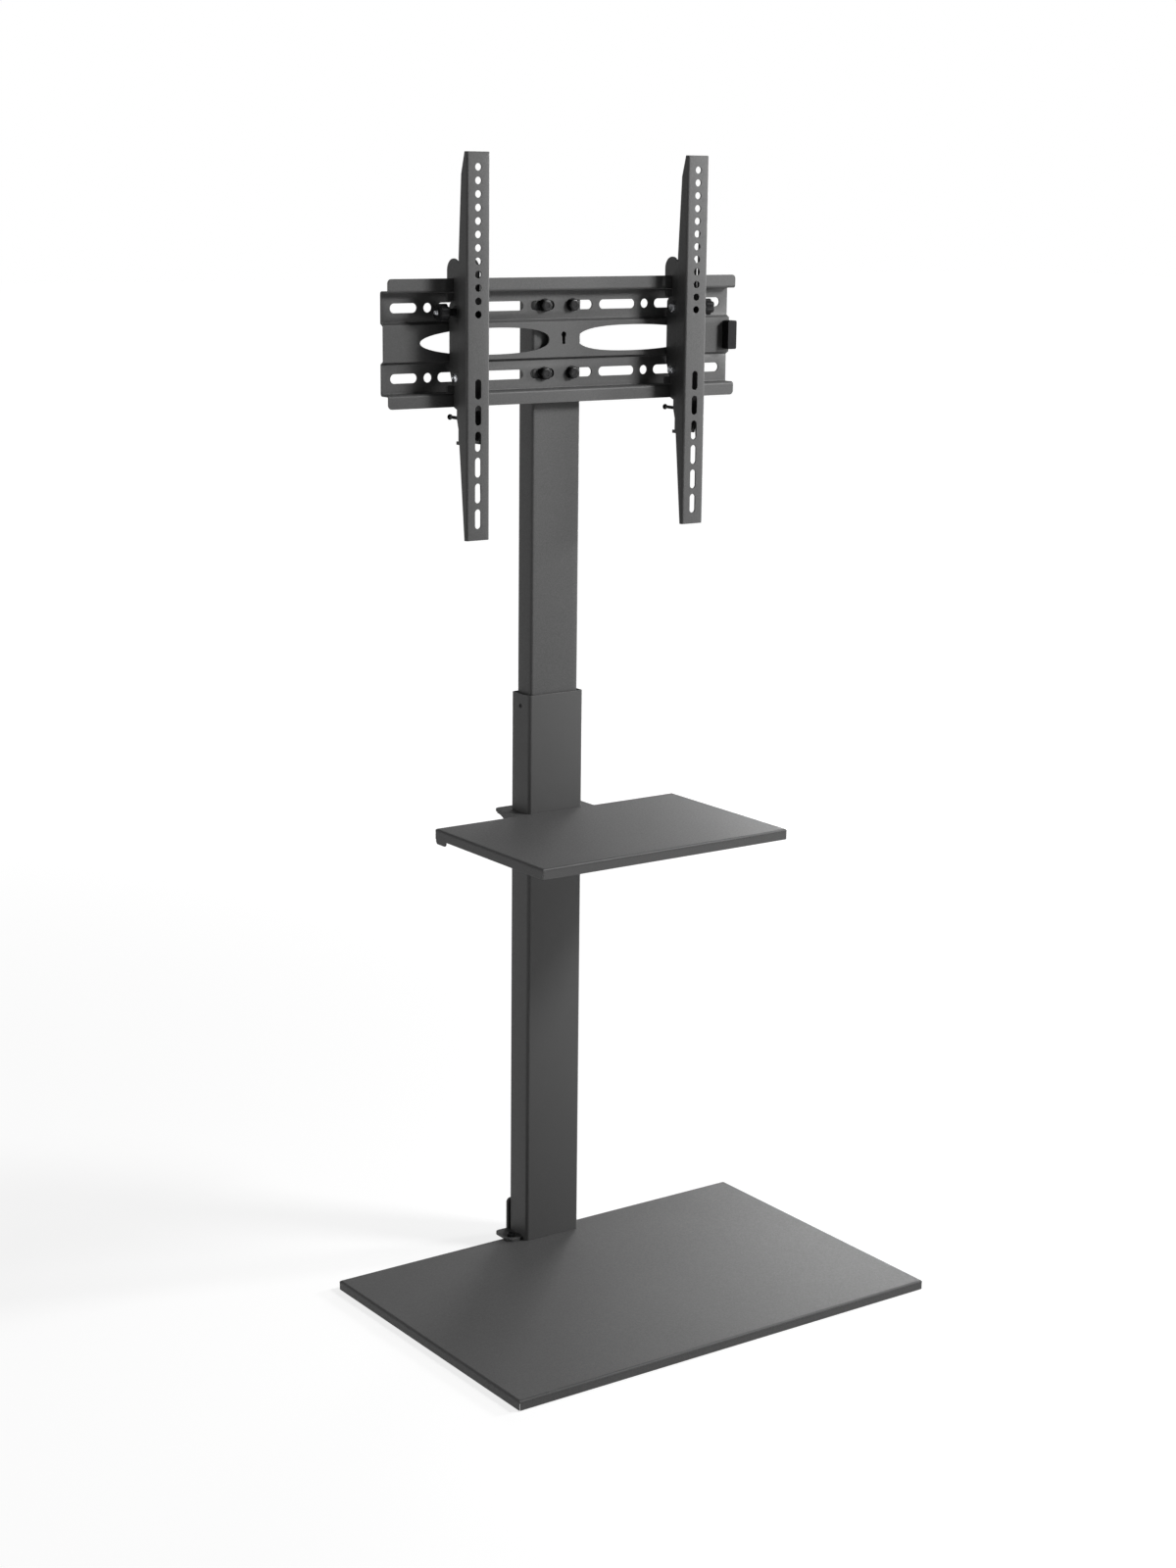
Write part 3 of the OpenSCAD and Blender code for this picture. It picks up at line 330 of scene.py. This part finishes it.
# the edge tone and the edge grain make a lighter copy of the coat for its broken edges: a painted highlight
# along folds and rims
powderTones = {"grain": 0.102, "edge": 1.35, "edgeHighlightGrain": 0.152}
tones = {m["slot"]: m["base_color"] for m in frame["record"]["materials"]}
grey = sum(tones["powder_coat"]) / 3  # the photo shows no tint
coat = makeFinish("powderCoat", finishLooks["powder"], [grey] * 3, [powderTones["grain"]] * 3)
# a lighter copy of the coat for the broken edges, a painted highlight
coatEdgeHighlight = makeFinish("powderCoatEdgeHighlight", finishLooks["powder"], [grey * powderTones["edge"]] * 3,
                      [powderTones["edgeHighlightGrain"]] * 3)
plastic = makeFinish("mouldedPlastic", finishLooks["plastic"], tones["black_plastic"])
darkSteel = makeFinish("blackSteel", finishLooks["steel"], tones["black_steel"])
zinc = makeFinish("brightZinc", finishLooks["zinc"], tones["bright_zinc"])
rubber = makeFinish("padRubber", finishLooks["rubber"], tones["pad_rubber"])
# each slot's finish, and the one its broken edges take; the powder coat's is lighter, a painted highlight
finishes = {
    "powder_coat": (coat, coatEdgeHighlight),
    "black_plastic": (plastic, plastic),
    "black_steel": (darkSteel, darkSteel),
    "bright_zinc": (zinc, zinc),
    "pad_rubber": (rubber, rubber),
}
print("finishes ready")


# sheet and tube pieces: a copy of the solid with the sheared edges broken, and seams cut where folds meet;
# the broken edges of the powder coat get its lighter edge copy, a painted highlight
edgeLook = {"segments": 2, "sharpAbove": 35, "flatBelow": 0.4}  # angles in degrees


def mergedCopy(node):
    work = bmesh.new()
    work.from_mesh(nodes[node].data)
    bmesh.ops.remove_doubles(work, verts=work.verts, dist=samePoint)
    bmesh.ops.dissolve_limit(work, angle_limit=math.radians(edgeLook["flatBelow"]), verts=work.verts,
                             edges=work.edges, delimit={"NORMAL"})
    mesh = bpy.data.meshes.new(node + "Work")
    work.to_mesh(mesh)
    work.free()
    return mesh


def boxMesh(low, high, turn):
    # a plain cutter block, turned about its own upright middle
    middle = (low + high) / 2
    work = bmesh.new()
    bmesh.ops.create_cube(work, size=1)
    size = Matrix.Diagonal((*(high - low), 1))
    work.transform(Matrix.Translation(middle) @ Matrix.Rotation(turn, 4, "Z") @ size)
    mesh = bpy.data.meshes.new("cutter")
    work.to_mesh(mesh)
    work.free()
    return mesh


def joined(meshes):
    work = bmesh.new()
    for mesh in meshes:
        work.from_mesh(mesh)
    mesh = bpy.data.meshes.new("joined")
    work.to_mesh(mesh)
    work.free()
    return mesh


def cutAway(mesh, cutter):
    holder = link(bpy.data.objects.new("holder", mesh))
    tool = link(bpy.data.objects.new("tool", cutter))
    cut = holder.modifiers.new("cut", "BOOLEAN")
    cut.object = tool
    cut.operation = "DIFFERENCE"
    cut.solver = "EXACT"
    result = baked(holder)
    bpy.data.objects.remove(holder)
    bpy.data.objects.remove(tool)
    return result


def brokenEdges(mesh, width, look):
    holder = link(bpy.data.objects.new("holder", mesh))
    bevel = holder.modifiers.new("edges", "BEVEL")
    bevel.width = width
    bevel.segments = look["segments"]
    bevel.limit_method = "ANGLE"
    bevel.angle_limit = math.radians(look["sharpAbove"])
    bevel.use_clamp_overlap = False
    bevel.harden_normals = True
    # the bevel faces take the slot's second finish: on the powder coat a lighter copy, a painted highlight
    bevel.material = 1
    result = baked(holder)
    bpy.data.objects.remove(holder)
    return result


def dressNode(node, slotName, edge, cutter=None):
    mesh = mergedCopy(node)
    if cutter is not None:
        mesh = cutAway(mesh, cutter)
    mesh.materials.clear()
    for material in finishes[slotName]:
        mesh.materials.append(material)
    for face in mesh.polygons:
        face.material_index = 0
    smooth(mesh, smoothBelow["sheet"])
    mesh = brokenEdges(mesh, edge, edgeLook)
    finishPiece(node + "_shell", mesh, bodyOf[node], [node])


def cornerSeams(node, seam):
    # the gap left between two folded edges at each upright corner
    low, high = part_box(node)
    bottom, top = (Vector((0, 0, z)) for z in (low.z - seam["below"], high.z - seam["fold"]))
    half = Vector((seam["reach"], seam["gap"], 0)) / 2
    cutters = []
    for x, turnX in ((low.x, 1), (high.x, -1)):
        for y, turnY in ((low.y, 1), (high.y, -1)):
            middle = Vector((x, y, 0)) + Vector((turnX, turnY, 0)) * seam["inset"]
            turn = turnX * turnY * math.pi / 4
            cutters.append(boxMesh(middle - half + bottom, middle + half + top, turn))
    return joined(cutters)


coatWidth = 0.35 * mm  # how wide the powder coat breaks an edge
shellEdges = {
    "powder_coat": {"width": coatWidth, "nodes": (
        "floor_plate_ribs", "floor_plate_anchor", "foot_bracket", "lower_column", "column_foot_block",
        "shelf_bracket", "upper_column", "wall_plate", "hanger_left", "hanger_right",
        "screen_arm_left", "screen_arm_right")},
    "black_plastic": {"width": 0.6 * mm, "nodes": ("column_bush", "mast_guide", "mast_cap", "end_cap")},
    "black_steel": {"width": 0.15 * mm, "nodes": ("plate_washers",)},
}
for slotName, group in shellEdges.items():
    for node in group["nodes"]:
        dressNode(node, slotName, group["width"])

traySeams = {
    "floor_plate": {"gap": 0.7 * mm, "reach": 9 * mm, "inset": 1 * mm, "below": 2 * mm, "fold": 3.2 * mm},
    "shelf_tray": {"gap": 0.6 * mm, "reach": 7 * mm, "inset": 0.8 * mm, "below": 2 * mm, "fold": 2.6 * mm},
}
for node, seam in traySeams.items():
    dressNode(node, "powder_coat", coatWidth, cornerSeams(node, seam))
print("sheet and tube pieces ready")


# small turned and moulded parts: rings of points joined into one skin, tip towards +Z, seat at 0
def loft(name, rings, closed=False):
    work = bmesh.new()
    rows = [[work.verts.new(p) for p in ring] for ring in rings]
    following = rows[1:] + [rows[0]] if closed else rows[1:]
    for low, high in zip(rows, following):
        for i in range(len(low)):
            j = (i + 1) % len(low)
            work.faces.new((low[i], low[j], high[j], high[i]))
    if not closed:
        work.faces.new(reversed(rows[0]))
        work.faces.new(rows[-1])
    bmesh.ops.recalc_face_normals(work, faces=work.faces[:])
    mesh = bpy.data.meshes.new(name)
    work.to_mesh(mesh)
    work.free()
    return mesh


def ring(radius, z, steps=48):
    # radius is a number or a rule that gives it for an angle
    points = []
    for i in range(steps):
        angle = 2 * math.pi * i / steps
        r = radius(angle) if callable(radius) else radius
        points.append((r * math.cos(angle), r * math.sin(angle), z))
    return points


def hexagon(flat, limit=1.0):
    # six-sided outline, corners cut by a circle
    return lambda angle: min(limit, flat / math.cos(angle % (math.pi / 3) - math.pi / 6))


def chamfered(flat, face, lean, steps):
    # outlines that grow from the round face to the full hexagon, each with its depth
    corner = flat * hexCorner
    return [(hexagon(flat, face + (corner - face) * t), (corner - face) * lean * t) for t in steps]


# a measure is a share of the thread's diameter; one named like socketMouth is a share of the socket
hexHead = {
    "across": 1.62, "high": 0.65, "flatFace": 0.92, "lean": 0.5, "steps": (0.25, 0.5, 0.75, 1),
    "faceDish": 0.5, "faceRim": 0.56, "sunk": 0.03, "collar": 0.05,
}
roundHead = {
    "across": 1.7, "high": 0.55, "socket": 0.5, "socketPoint": 0.3, "highPoint": 0.45, "highSocket": 0.55,
    "socketMouth": 1.3, "lead": 0.03, "rim": 0.1, "steps": 8, "foot": 0.02,
}
grubHead = {
    "high": 0, "socket": 0.5, "socketPoint": 0.3, "point": 0.5, "deep": 0.45, "lead": 0.02,
    "socketMouth": 1.25, "face": 0.38, "shoulder": 0.49, "chamfer": 0.1,
}
shank = {
    "neck": 0.495, "seat": 0.005, "runout": 0.06, "tip": 0.12, "coreTip": 0.78, "least": 0.1, "ends": 0.3,
}


def hexHeadRings(d, head):
    flat, high, collar = d * head["across"] / 2, d * head["high"], d * head["collar"]
    face = flat * head["flatFace"]
    rings = [ring(face * head["faceDish"], -high + head["sunk"] * d), ring(face * head["faceRim"], -high),
             ring(face, -high)]
    for outline, drop in chamfered(flat, face, head["lean"], head["steps"]):
        rings.append(ring(outline, -high + drop))
    return rings + [ring(hexagon(flat), -collar), ring(face, -collar), ring(face, 0)]


def roundHeadRings(d, head):
    wide, high, rim, foot = d * head["across"] / 2, d * head["high"], d * head["rim"], d * head["foot"]
    socket = d * head["socket"] / 2 * socketFlat
    mouth = socket * head["socketMouth"]
    rings = [ring(socket * head["socketPoint"], -high * head["highPoint"]),
             ring(hexagon(socket), -high * head["highSocket"]),
             ring(hexagon(socket), -high + head["lead"] * d), ring(mouth, -high)]
    for t in range(1, head["steps"] + 1):
        turn = math.pi / 2 * t / head["steps"]
        rings.append(ring(mouth + (wide - mouth) * math.sin(turn), -rim - (high - rim) * math.cos(turn)))
    return rings + [ring(wide, -foot), ring(wide - foot, 0)]


def grubHeadRings(d, head):
    socket = d * head["socket"] / 2 * socketFlat
    return [ring(socket * head["socketPoint"], d * head["point"]), ring(hexagon(socket), d * head["deep"]),
            ring(hexagon(socket), head["lead"] * d), ring(socket * head["socketMouth"], 0),
            ring(d * head["face"], 0), ring(d * head["shoulder"], d * head["chamfer"])]


def shankRings(d, long, core, plain):
    # smooth shank, then the thread's core and a chamfered tip
    neck = d * shank["neck"]
    return [ring(neck, shank["seat"] * d), ring(neck, plain), ring(core, plain + shank["runout"] * d),
            ring(core, long - shank["tip"] * d), ring(core * shank["coreTip"], long)]


# the thread's depth is a share of its pitch, and the ridge a share of the depth
threadLook = {"turnSteps": 24, "ridgeSides": 4, "depth": 0.5, "ridge": 0.98}


def startTree(name, inputs):
    # a node group with named inputs, and the sockets that hand them on
    tree = bpy.data.node_groups.new(name, "GeometryNodeTree")
    for label, kind in inputs.items():
        tree.interface.new_socket(label, in_out="INPUT", socket_type="NodeSocket" + kind)
    tree.interface.new_socket("Geometry", in_out="OUTPUT", socket_type="NodeSocketGeometry")
    return tree, addNode(tree, "NodeGroupInput").outputs


def endTree(tree, geometry, material):
    real = addNode(tree, "GeometryNodeRealizeInstances", {"Geometry": geometry})
    painted = {"Geometry": real.outputs["Geometry"], "Material": material}
    paint = addNode(tree, "GeometryNodeSetMaterial", painted)
    addNode(tree, "NodeGroupOutput", {"Geometry": paint.outputs["Geometry"]})
    return tree


def threadTree(look):
    # a triangular ridge wound round a core
    tree, given = startTree("thread", {"Core Radius": "Float", "Ridge": "Float", "Turns": "Float",
                                       "Length": "Float", "Start": "Float", "Material": "Material"})
    spiral = addNode(tree, "GeometryNodeCurveSpiral", {
        "Resolution": look["turnSteps"], "Start Radius": given["Core Radius"],
        "End Radius": given["Core Radius"], "Rotations": given["Turns"], "Height": given["Length"]})
    upright = addNode(tree, "GeometryNodeSetCurveNormal", {"Curve": spiral.outputs["Curve"]}, mode="Z_UP")
    profile = addNode(tree, "GeometryNodeCurvePrimitiveCircle", {
        "Resolution": look["ridgeSides"], "Radius": given["Ridge"]})
    sweep = addNode(tree, "GeometryNodeCurveToMesh", {
        "Curve": upright.outputs["Curve"], "Profile Curve": profile.outputs["Curve"], "Fill Caps": True})
    offset = addNode(tree, "ShaderNodeCombineXYZ", {"Z": given["Start"]})
    shift = addNode(tree, "GeometryNodeTransform", {
        "Geometry": sweep.outputs["Mesh"], "Translation": offset.outputs["Vector"]})
    return endTree(tree, shift.outputs["Geometry"], given["Material"])


def placeTree():
    # sets a template on every point, its Z along the point's stored axis
    tree, given = startTree("place", {"Points": "Geometry", "Template": "Object", "Material": "Material"})
    info = addNode(tree, "GeometryNodeObjectInfo", {"Object": given["Template"]})
    axis = addNode(tree, "GeometryNodeInputNamedAttribute", {"Name": "axis"}, data_type="FLOAT_VECTOR")
    aim = addNode(tree, "FunctionNodeAlignRotationToVector", {"Vector": axis.outputs["Attribute"]}, axis="Z")
    put = addNode(tree, "GeometryNodeInstanceOnPoints", {
        "Points": given["Points"], "Instance": info.outputs["Geometry"], "Rotation": aim.outputs["Rotation"]})
    return endTree(tree, put.outputs["Instances"], given["Material"])


def grown(tree, values, base=None):
    # runs a node group with the given inputs and hands back a plain mesh
    holder = link(bpy.data.objects.new("grower", base or bpy.data.meshes.new("empty")))
    modifier = holder.modifiers.new("grow", "NODES")
    modifier.node_group = tree
    for item in tree.interface.items_tree:
        if item.in_out == "INPUT" and item.name in values:
            modifier[item.identifier] = values[item.name]
    result = baked(holder)
    bpy.data.objects.remove(holder)
    return result


threads = threadTree(threadLook)
places = placeTree()


def threadCore(d, pitch):
    return d / 2 - pitch * threadLook["depth"]


def threadMesh(d, pitch, start, long, material):
    ridge = pitch * threadLook["depth"] * threadLook["ridge"]
    values = {"Core Radius": threadCore(d, pitch), "Ridge": ridge, "Turns": long / pitch, "Length": long,
              "Start": start, "Material": material}
    return grown(threads, values)


def setOut(template, points, axes, material):
    # copies of the template on the points, along the axes
    cloud = bpy.data.meshes.new("points")
    cloud.from_pydata([tuple(p) for p in points], [], [])
    store = cloud.attributes.new("axis", "FLOAT_VECTOR", "POINT")
    for i, axis in enumerate(axes):
        store.data[i].vector = axis
    holder = link(bpy.data.objects.new("template", template))
    result = grown(places, {"Template": holder, "Material": material}, cloud)
    bpy.data.objects.remove(holder)
    smooth(result, smoothBelow["turned"])
    return result


def solidBoxes(node):
    # the corners of every loose solid of a node
    work = bmesh.new()
    work.from_mesh(nodes[node].data)
    bmesh.ops.remove_doubles(work, verts=work.verts, dist=samePoint)
    seen, boxes = set(), []
    for vert in work.verts:
        if vert in seen:
            continue
        reached, group = [vert], []
        seen.add(vert)
        while reached:
            current = reached.pop()
            group.append(current.co.copy())
            for edge in current.link_edges:
                other = edge.other_vert(current)
                if other not in seen:
                    seen.add(other)
                    reached.append(other)
        low = Vector([min(c[k] for c in group) for k in range(3)])
        high = Vector([max(c[k] for c in group) for k in range(3)])
        boxes.append((low, high))
    work.free()
    return boxes


headKinds = {
    "hex": (hexHeadRings, hexHead),
    "round": (roundHeadRings, roundHead),
    "grub": (grubHeadRings, grubHead),
}


def dressScrews(node, kind, d, pitch, tips, slotName="black_steel", plainShare=0.25):
    # tips: the way the tip points, one for all or one for each side of the middle (left, right)
    metal = finishes[slotName][0]
    headRings, head = headKinds[kind]
    high = head["high"] * d
    points, axes = [], []
    for low, top in solidBoxes(node):
        middle = (low + top) / 2
        tip = Vector(tips[0] if len(tips) == 1 or middle.x < 0 else tips[1])
        reach = abs((top - low).dot(tip))
        points.append(middle - tip * (reach / 2 - high))
        axes.append(tip)
    long = reach - high
    least, ends = shank["least"] * d, shank["ends"] * d
    plain = least if kind == "grub" else max(least, (long - ends) * plainShare)
    under = shankRings(d, long, threadCore(d, pitch), plain)
    if kind == "grub":
        under = under[2:]  # a grub screw has no smooth shank
    body = loft(node + "Body", headRings(d, head) + under)
    body.materials.append(metal)
    ridge = threadMesh(d, pitch, plain + least + pitch / 2, long - plain - ends - pitch, metal)
    copies = setOut(joined([body, ridge]), points, axes, metal)
    finishPiece(node + "_turned", copies, bodyOf[node], [node])


screwKinds = {
    "foot_bolt": ("hex", 6, 1.0, ((0, 0, -1),)),
    "leg_bolts": ("round", 6, 1.0, ((0, -1, 0),)),
    "base_bolts": ("round", 6, 1.0, ((0, 0, 1),)),
    "lock_screws": ("grub", 6, 1.0, ((1, 0, 0), (-1, 0, 0))),
    "clamp_screws": ("grub", 8, 1.25, ((0, -1, 0),)),
    "plate_bolts": ("hex", 8, 1.25, ((0, 1, 0),)),
    "safety_screw_left": ("round", 4, 0.7, ((0, -1, 0),)),
    "safety_screw_right": ("round", 4, 0.7, ((0, -1, 0),)),
    "pivot_bolt_left": ("round", 6, 1.0, ((1, 0, 0),), "bright_zinc", 0.8),
    "pivot_bolt_right": ("round", 6, 1.0, ((-1, 0, 0),), "bright_zinc", 0.8),
    "tilt_bolt_left": ("hex", 6, 1.0, ((-1, 0, 0),), "bright_zinc", 0.4),
    "tilt_bolt_right": ("hex", 6, 1.0, ((1, 0, 0),), "bright_zinc", 0.4),
}
for node, (kind, d, pitch, tips, *rest) in screwKinds.items():
    dressScrews(node, kind, d * mm, pitch * mm, tips, *rest)
print("screws ready")


# studs and nuts, measured like the screws; the room between bore and thread is a length
studShape = {"coreLead": 1.02, "lead": 0.05, "tip": 0.12, "coreTip": 0.78, "pitchBare": 0.6}
nutShape = {"flatFace": 0.93, "lean": 0.5, "steps": (0.33, 0.66, 1), "lead": 0.08, "room": 0.06 * mm}


def dressStuds(node, d, pitch, axis, slotName, shape):
    metal = finishes[slotName][0]
    axis = Vector(axis)
    boxes = solidBoxes(node)
    long = abs((boxes[0][1] - boxes[0][0]).dot(axis))
    points = [(low + high) / 2 - axis * long / 2 for low, high in boxes]
    core = threadCore(d, pitch)
    body = loft(node + "Body", [ring(core * shape["coreLead"], 0), ring(core, shape["lead"] * d),
                                ring(core, long - shape["tip"] * d), ring(core * shape["coreTip"], long)])
    body.materials.append(metal)
    bare = pitch * shape["pitchBare"]
    ridge = threadMesh(d, pitch, bare, long - 2 * bare, metal)
    copies = setOut(joined([body, ridge]), points, [axis] * len(points), metal)
    finishPiece(node + "_turned", copies, bodyOf[node], [node])


def dressNuts(node, d, axis, slotName, shape):
    metal = finishes[slotName][0]
    axis = Vector(axis)
    boxes = solidBoxes(node)
    tall = abs((boxes[0][1] - boxes[0][0]).dot(axis))
    bore, lead = d / 2 + shape["room"], shape["lead"] * d
    flat = d * hexHead["across"] / 2
    face = flat * shape["flatFace"]
    sides = chamfered(flat, face, shape["lean"], shape["steps"])
    rings = [ring(bore + lead, 0), ring(face, 0)]
    rings += [ring(outline, drop) for outline, drop in sides]
    rings += [ring(outline, tall - drop) for outline, drop in reversed(sides)]
    rings += [ring(face, tall), ring(bore + lead, tall), ring(bore, tall - lead), ring(bore, lead)]
    body = loft(node + "Body", rings, closed=True)
    body.materials.append(metal)
    points = [(low + high) / 2 - axis * tall / 2 for low, high in boxes]
    copies = setOut(body, points, [axis] * len(points), metal)
    finishPiece(node + "_pressed", copies, bodyOf[node], [node])


dressStuds("shelf_studs", 5 * mm, 0.8 * mm, (0, 0, -1), "bright_zinc", studShape)
nutKinds = {
    "shelf_nuts": (5, (0, 0, -1), "bright_zinc"),
    "plate_nuts": (8, (0, 1, 0), "bright_zinc"),
    "pivot_nut_left": (6, (1, 0, 0), "bright_zinc"),
    "pivot_nut_right": (6, (-1, 0, 0), "bright_zinc"),
}
for node, (d, axis, slotName) in nutKinds.items():
    dressNuts(node, d * mm, axis, slotName, nutShape)
print("studs and nuts ready")


# tilt knobs: fluted neck, six lobes with rounded edges, a crown and a bore
# neck, lobe and core are shares of the radius, and lengths are in mm
# foot gives radius and height, fluted the flutes' depth and height, crown radius and height over the grip
knobShape = {
    "radius": 10, "neck": 0.44, "lobe": 0.34, "core": 0.8, "neckHigh": 11, "gripHigh": 13, "lobes": 6,
    "round": 1.4, "roundSteps": 5, "flutes": 12, "underLobes": 0.6, "steps": 144,
    "foot": ((3.15, 0.4), (3.55, 0), (3.9, 0)),
    "fluted": ((0, 0.5), (0, 1.6), (0.3, 2.4), (0.3, 10), (0, 10.8)),
    "crown": ((6, 0), (5.8, 1), (5.3, 1.5), (4.05, 1.5), (3.45, 1.1), (3.15, 0.7)),
}


def dressKnob(node, shape, side):
    wide, steps = shape["radius"], shape["steps"]
    lobe, middle = wide * shape["lobe"], wide * (1 - shape["lobe"])
    spacing = math.pi / shape["lobes"]

    def lobed(shrink):
        def radius(angle):
            away = (angle + spacing) % (2 * spacing) - spacing
            inside = (lobe - shrink) ** 2 - (middle * math.sin(away)) ** 2
            reach = middle * math.cos(away) + math.sqrt(inside) if inside > 0 else 0
            return max(reach, wide * shape["core"] - shrink) * mm
        return radius

    def fluted(depth):
        return lambda angle: (wide * shape["neck"] - depth * (1 - math.cos(angle * shape["flutes"])) / 2) * mm

    neckTop, gripTop, rim = shape["neckHigh"], shape["neckHigh"] + shape["gripHigh"], shape["round"]
    rounding = []
    for t in range(shape["roundSteps"] + 1):
        turn = math.pi / 2 * t / shape["roundSteps"]
        rounding.append((lobed(rim * (1 - math.sin(turn))), rim * (1 - math.cos(turn))))
    rings = [ring(r * mm, z * mm, steps) for r, z in shape["foot"]]
    rings += [ring(fluted(depth), z * mm, steps) for depth, z in shape["fluted"]]
    rings.append(ring(lobed(rim + shape["underLobes"]), neckTop * mm, steps))
    rings += [ring(outline, (neckTop + z) * mm, steps) for outline, z in rounding]
    rings += [ring(outline, (gripTop - z) * mm, steps) for outline, z in reversed(rounding)]
    rings += [ring(r * mm, (gripTop + z) * mm, steps) for r, z in shape["crown"]]
    body = loft(node + "Body", rings, closed=True)
    body.materials.append(plastic)
    low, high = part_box(node)
    seat = Vector((low.x if side > 0 else high.x, (low.y + high.y) / 2, (low.z + high.z) / 2))
    copies = setOut(body, [seat], [(side, 0, 0)], plastic)
    finishPiece(node + "_moulded", copies, bodyOf[node], [node])


dressKnob("tilt_knob_left", knobShape, -1)
dressKnob("tilt_knob_right", knobShape, 1)

# floor pads: rounded rim, a groove round the side and rings on the sole, by radius and height in mm
padShape = {
    "steps": 64,
    "rings": ((0.4, 0.3), (2.4, 0.3), (2.7, 0.05), (5, 0.05), (5.3, 0.35), (7.4, 0.35), (7.7, 0), (10, 0),
              (10.6, 0.2), (10.9, 0.7), (11, 1.2), (10.6, 1.5), (10.6, 1.9), (11, 2.2), (11, 2.7), (10.7, 3)),
}


def dressPads(node, shape):
    body = loft(node + "Body", [ring(r * mm, z * mm, shape["steps"]) for r, z in shape["rings"]])
    body.materials.append(rubber)
    points = [((low.x + high.x) / 2, (low.y + high.y) / 2, low.z) for low, high in solidBoxes(node)]
    copies = setOut(body, points, [(0, 0, 1)] * len(points), rubber)
    finishPiece(node + "_moulded", copies, bodyOf[node], [node])


dressPads("floor_pads", padShape)
print("knobs and pads ready")


# stitch welds: overlapping flat beads along a path, where the ribs and the anchor meet the floor plate
beadShape = {"segments": 10, "rings": 5, "scale": (1.25, 1.25, 0.7)}
plateWelds = {"step": 1.6 * mm, "bead": 1.3 * mm, "uneven": 0.3, "seed": 7, "long": 28 * mm, "apart": 94 * mm,
              "proud": 0.35 * mm, "ribEnd": 12 * mm, "anchorEnd": 8 * mm}


def weldTree(look):
    tree, given = startTree("weld", {"Paths": "Geometry", "Step": "Float", "Bead": "Float", "Uneven": "Float",
                                     "Seed": "Int", "Material": "Material"})
    curve = addNode(tree, "GeometryNodeMeshToCurve", {"Mesh": given["Paths"]})
    points = addNode(tree, "GeometryNodeCurveToPoints", {
        "Curve": curve.outputs["Curve"], "Length": given["Step"]}, mode="LENGTH")
    blob = addNode(tree, "GeometryNodeMeshUVSphere", {
        "Segments": look["segments"], "Rings": look["rings"], "Radius": given["Bead"]})
    flat = addNode(tree, "GeometryNodeTransform", {"Geometry": blob.outputs["Mesh"], "Scale": look["scale"]})
    least = addNode(tree, "ShaderNodeMath", {0: 1, 1: given["Uneven"]}, operation="SUBTRACT")
    size = addNode(tree, "FunctionNodeRandomValue", {2: least.outputs[0], 3: 1, "Seed": given["Seed"]})
    put = addNode(tree, "GeometryNodeInstanceOnPoints", {
        "Points": points.outputs["Points"], "Instance": flat.outputs["Geometry"],
        "Rotation": points.outputs["Rotation"], "Scale": size.outputs[1]})
    return endTree(tree, put.outputs["Instances"], given["Material"])


welds = weldTree(beadShape)


def weldRuns(runs, look, body, name):
    cloud = bpy.data.meshes.new(name + "Paths")
    ends = [end for run in runs for end in run]
    cloud.from_pydata(ends, [(i, i + 1) for i in range(0, len(ends), 2)], [])
    values = {"Step": look["step"], "Bead": look["bead"], "Uneven": look["uneven"], "Seed": look["seed"],
              "Material": coat}
    mesh = grown(welds, values, cloud)
    smooth(mesh, smoothBelow["weld"])
    finishPiece(name, mesh, body)


def stitches(a, b, look):
    # short runs spread evenly along the straight line from a to b
    a, b = Vector(a), Vector(b)
    whole = (b - a).length
    count = max(1, round((whole - look["long"]) / look["apart"]) + 1)
    along = (b - a) / whole
    step = (whole - look["long"]) / (count - 1) if count > 1 else 0
    return [(tuple(a + along * (step * i)), tuple(a + along * (step * i + look["long"])))
            for i in range(count)]


def weldFloorPlate(look):
    runs = []
    for low, high in solidBoxes("floor_plate_ribs"):
        for x in (low.x - look["proud"], high.x + look["proud"]):
            level = high.z - look["proud"]
            runs += stitches((x, low.y + look["ribEnd"], level), (x, high.y - look["ribEnd"], level), look)
    low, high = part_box("floor_plate_anchor")
    level, front = high.z - look["proud"], low.y - look["proud"]
    end = look["anchorEnd"]
    runs += stitches((low.x + end, front, level), (high.x - end, front, level), look)
    weldRuns(runs, look, "stand", "floor_plate_welds")


weldFloorPlate(plateWelds)
print("welds ready")
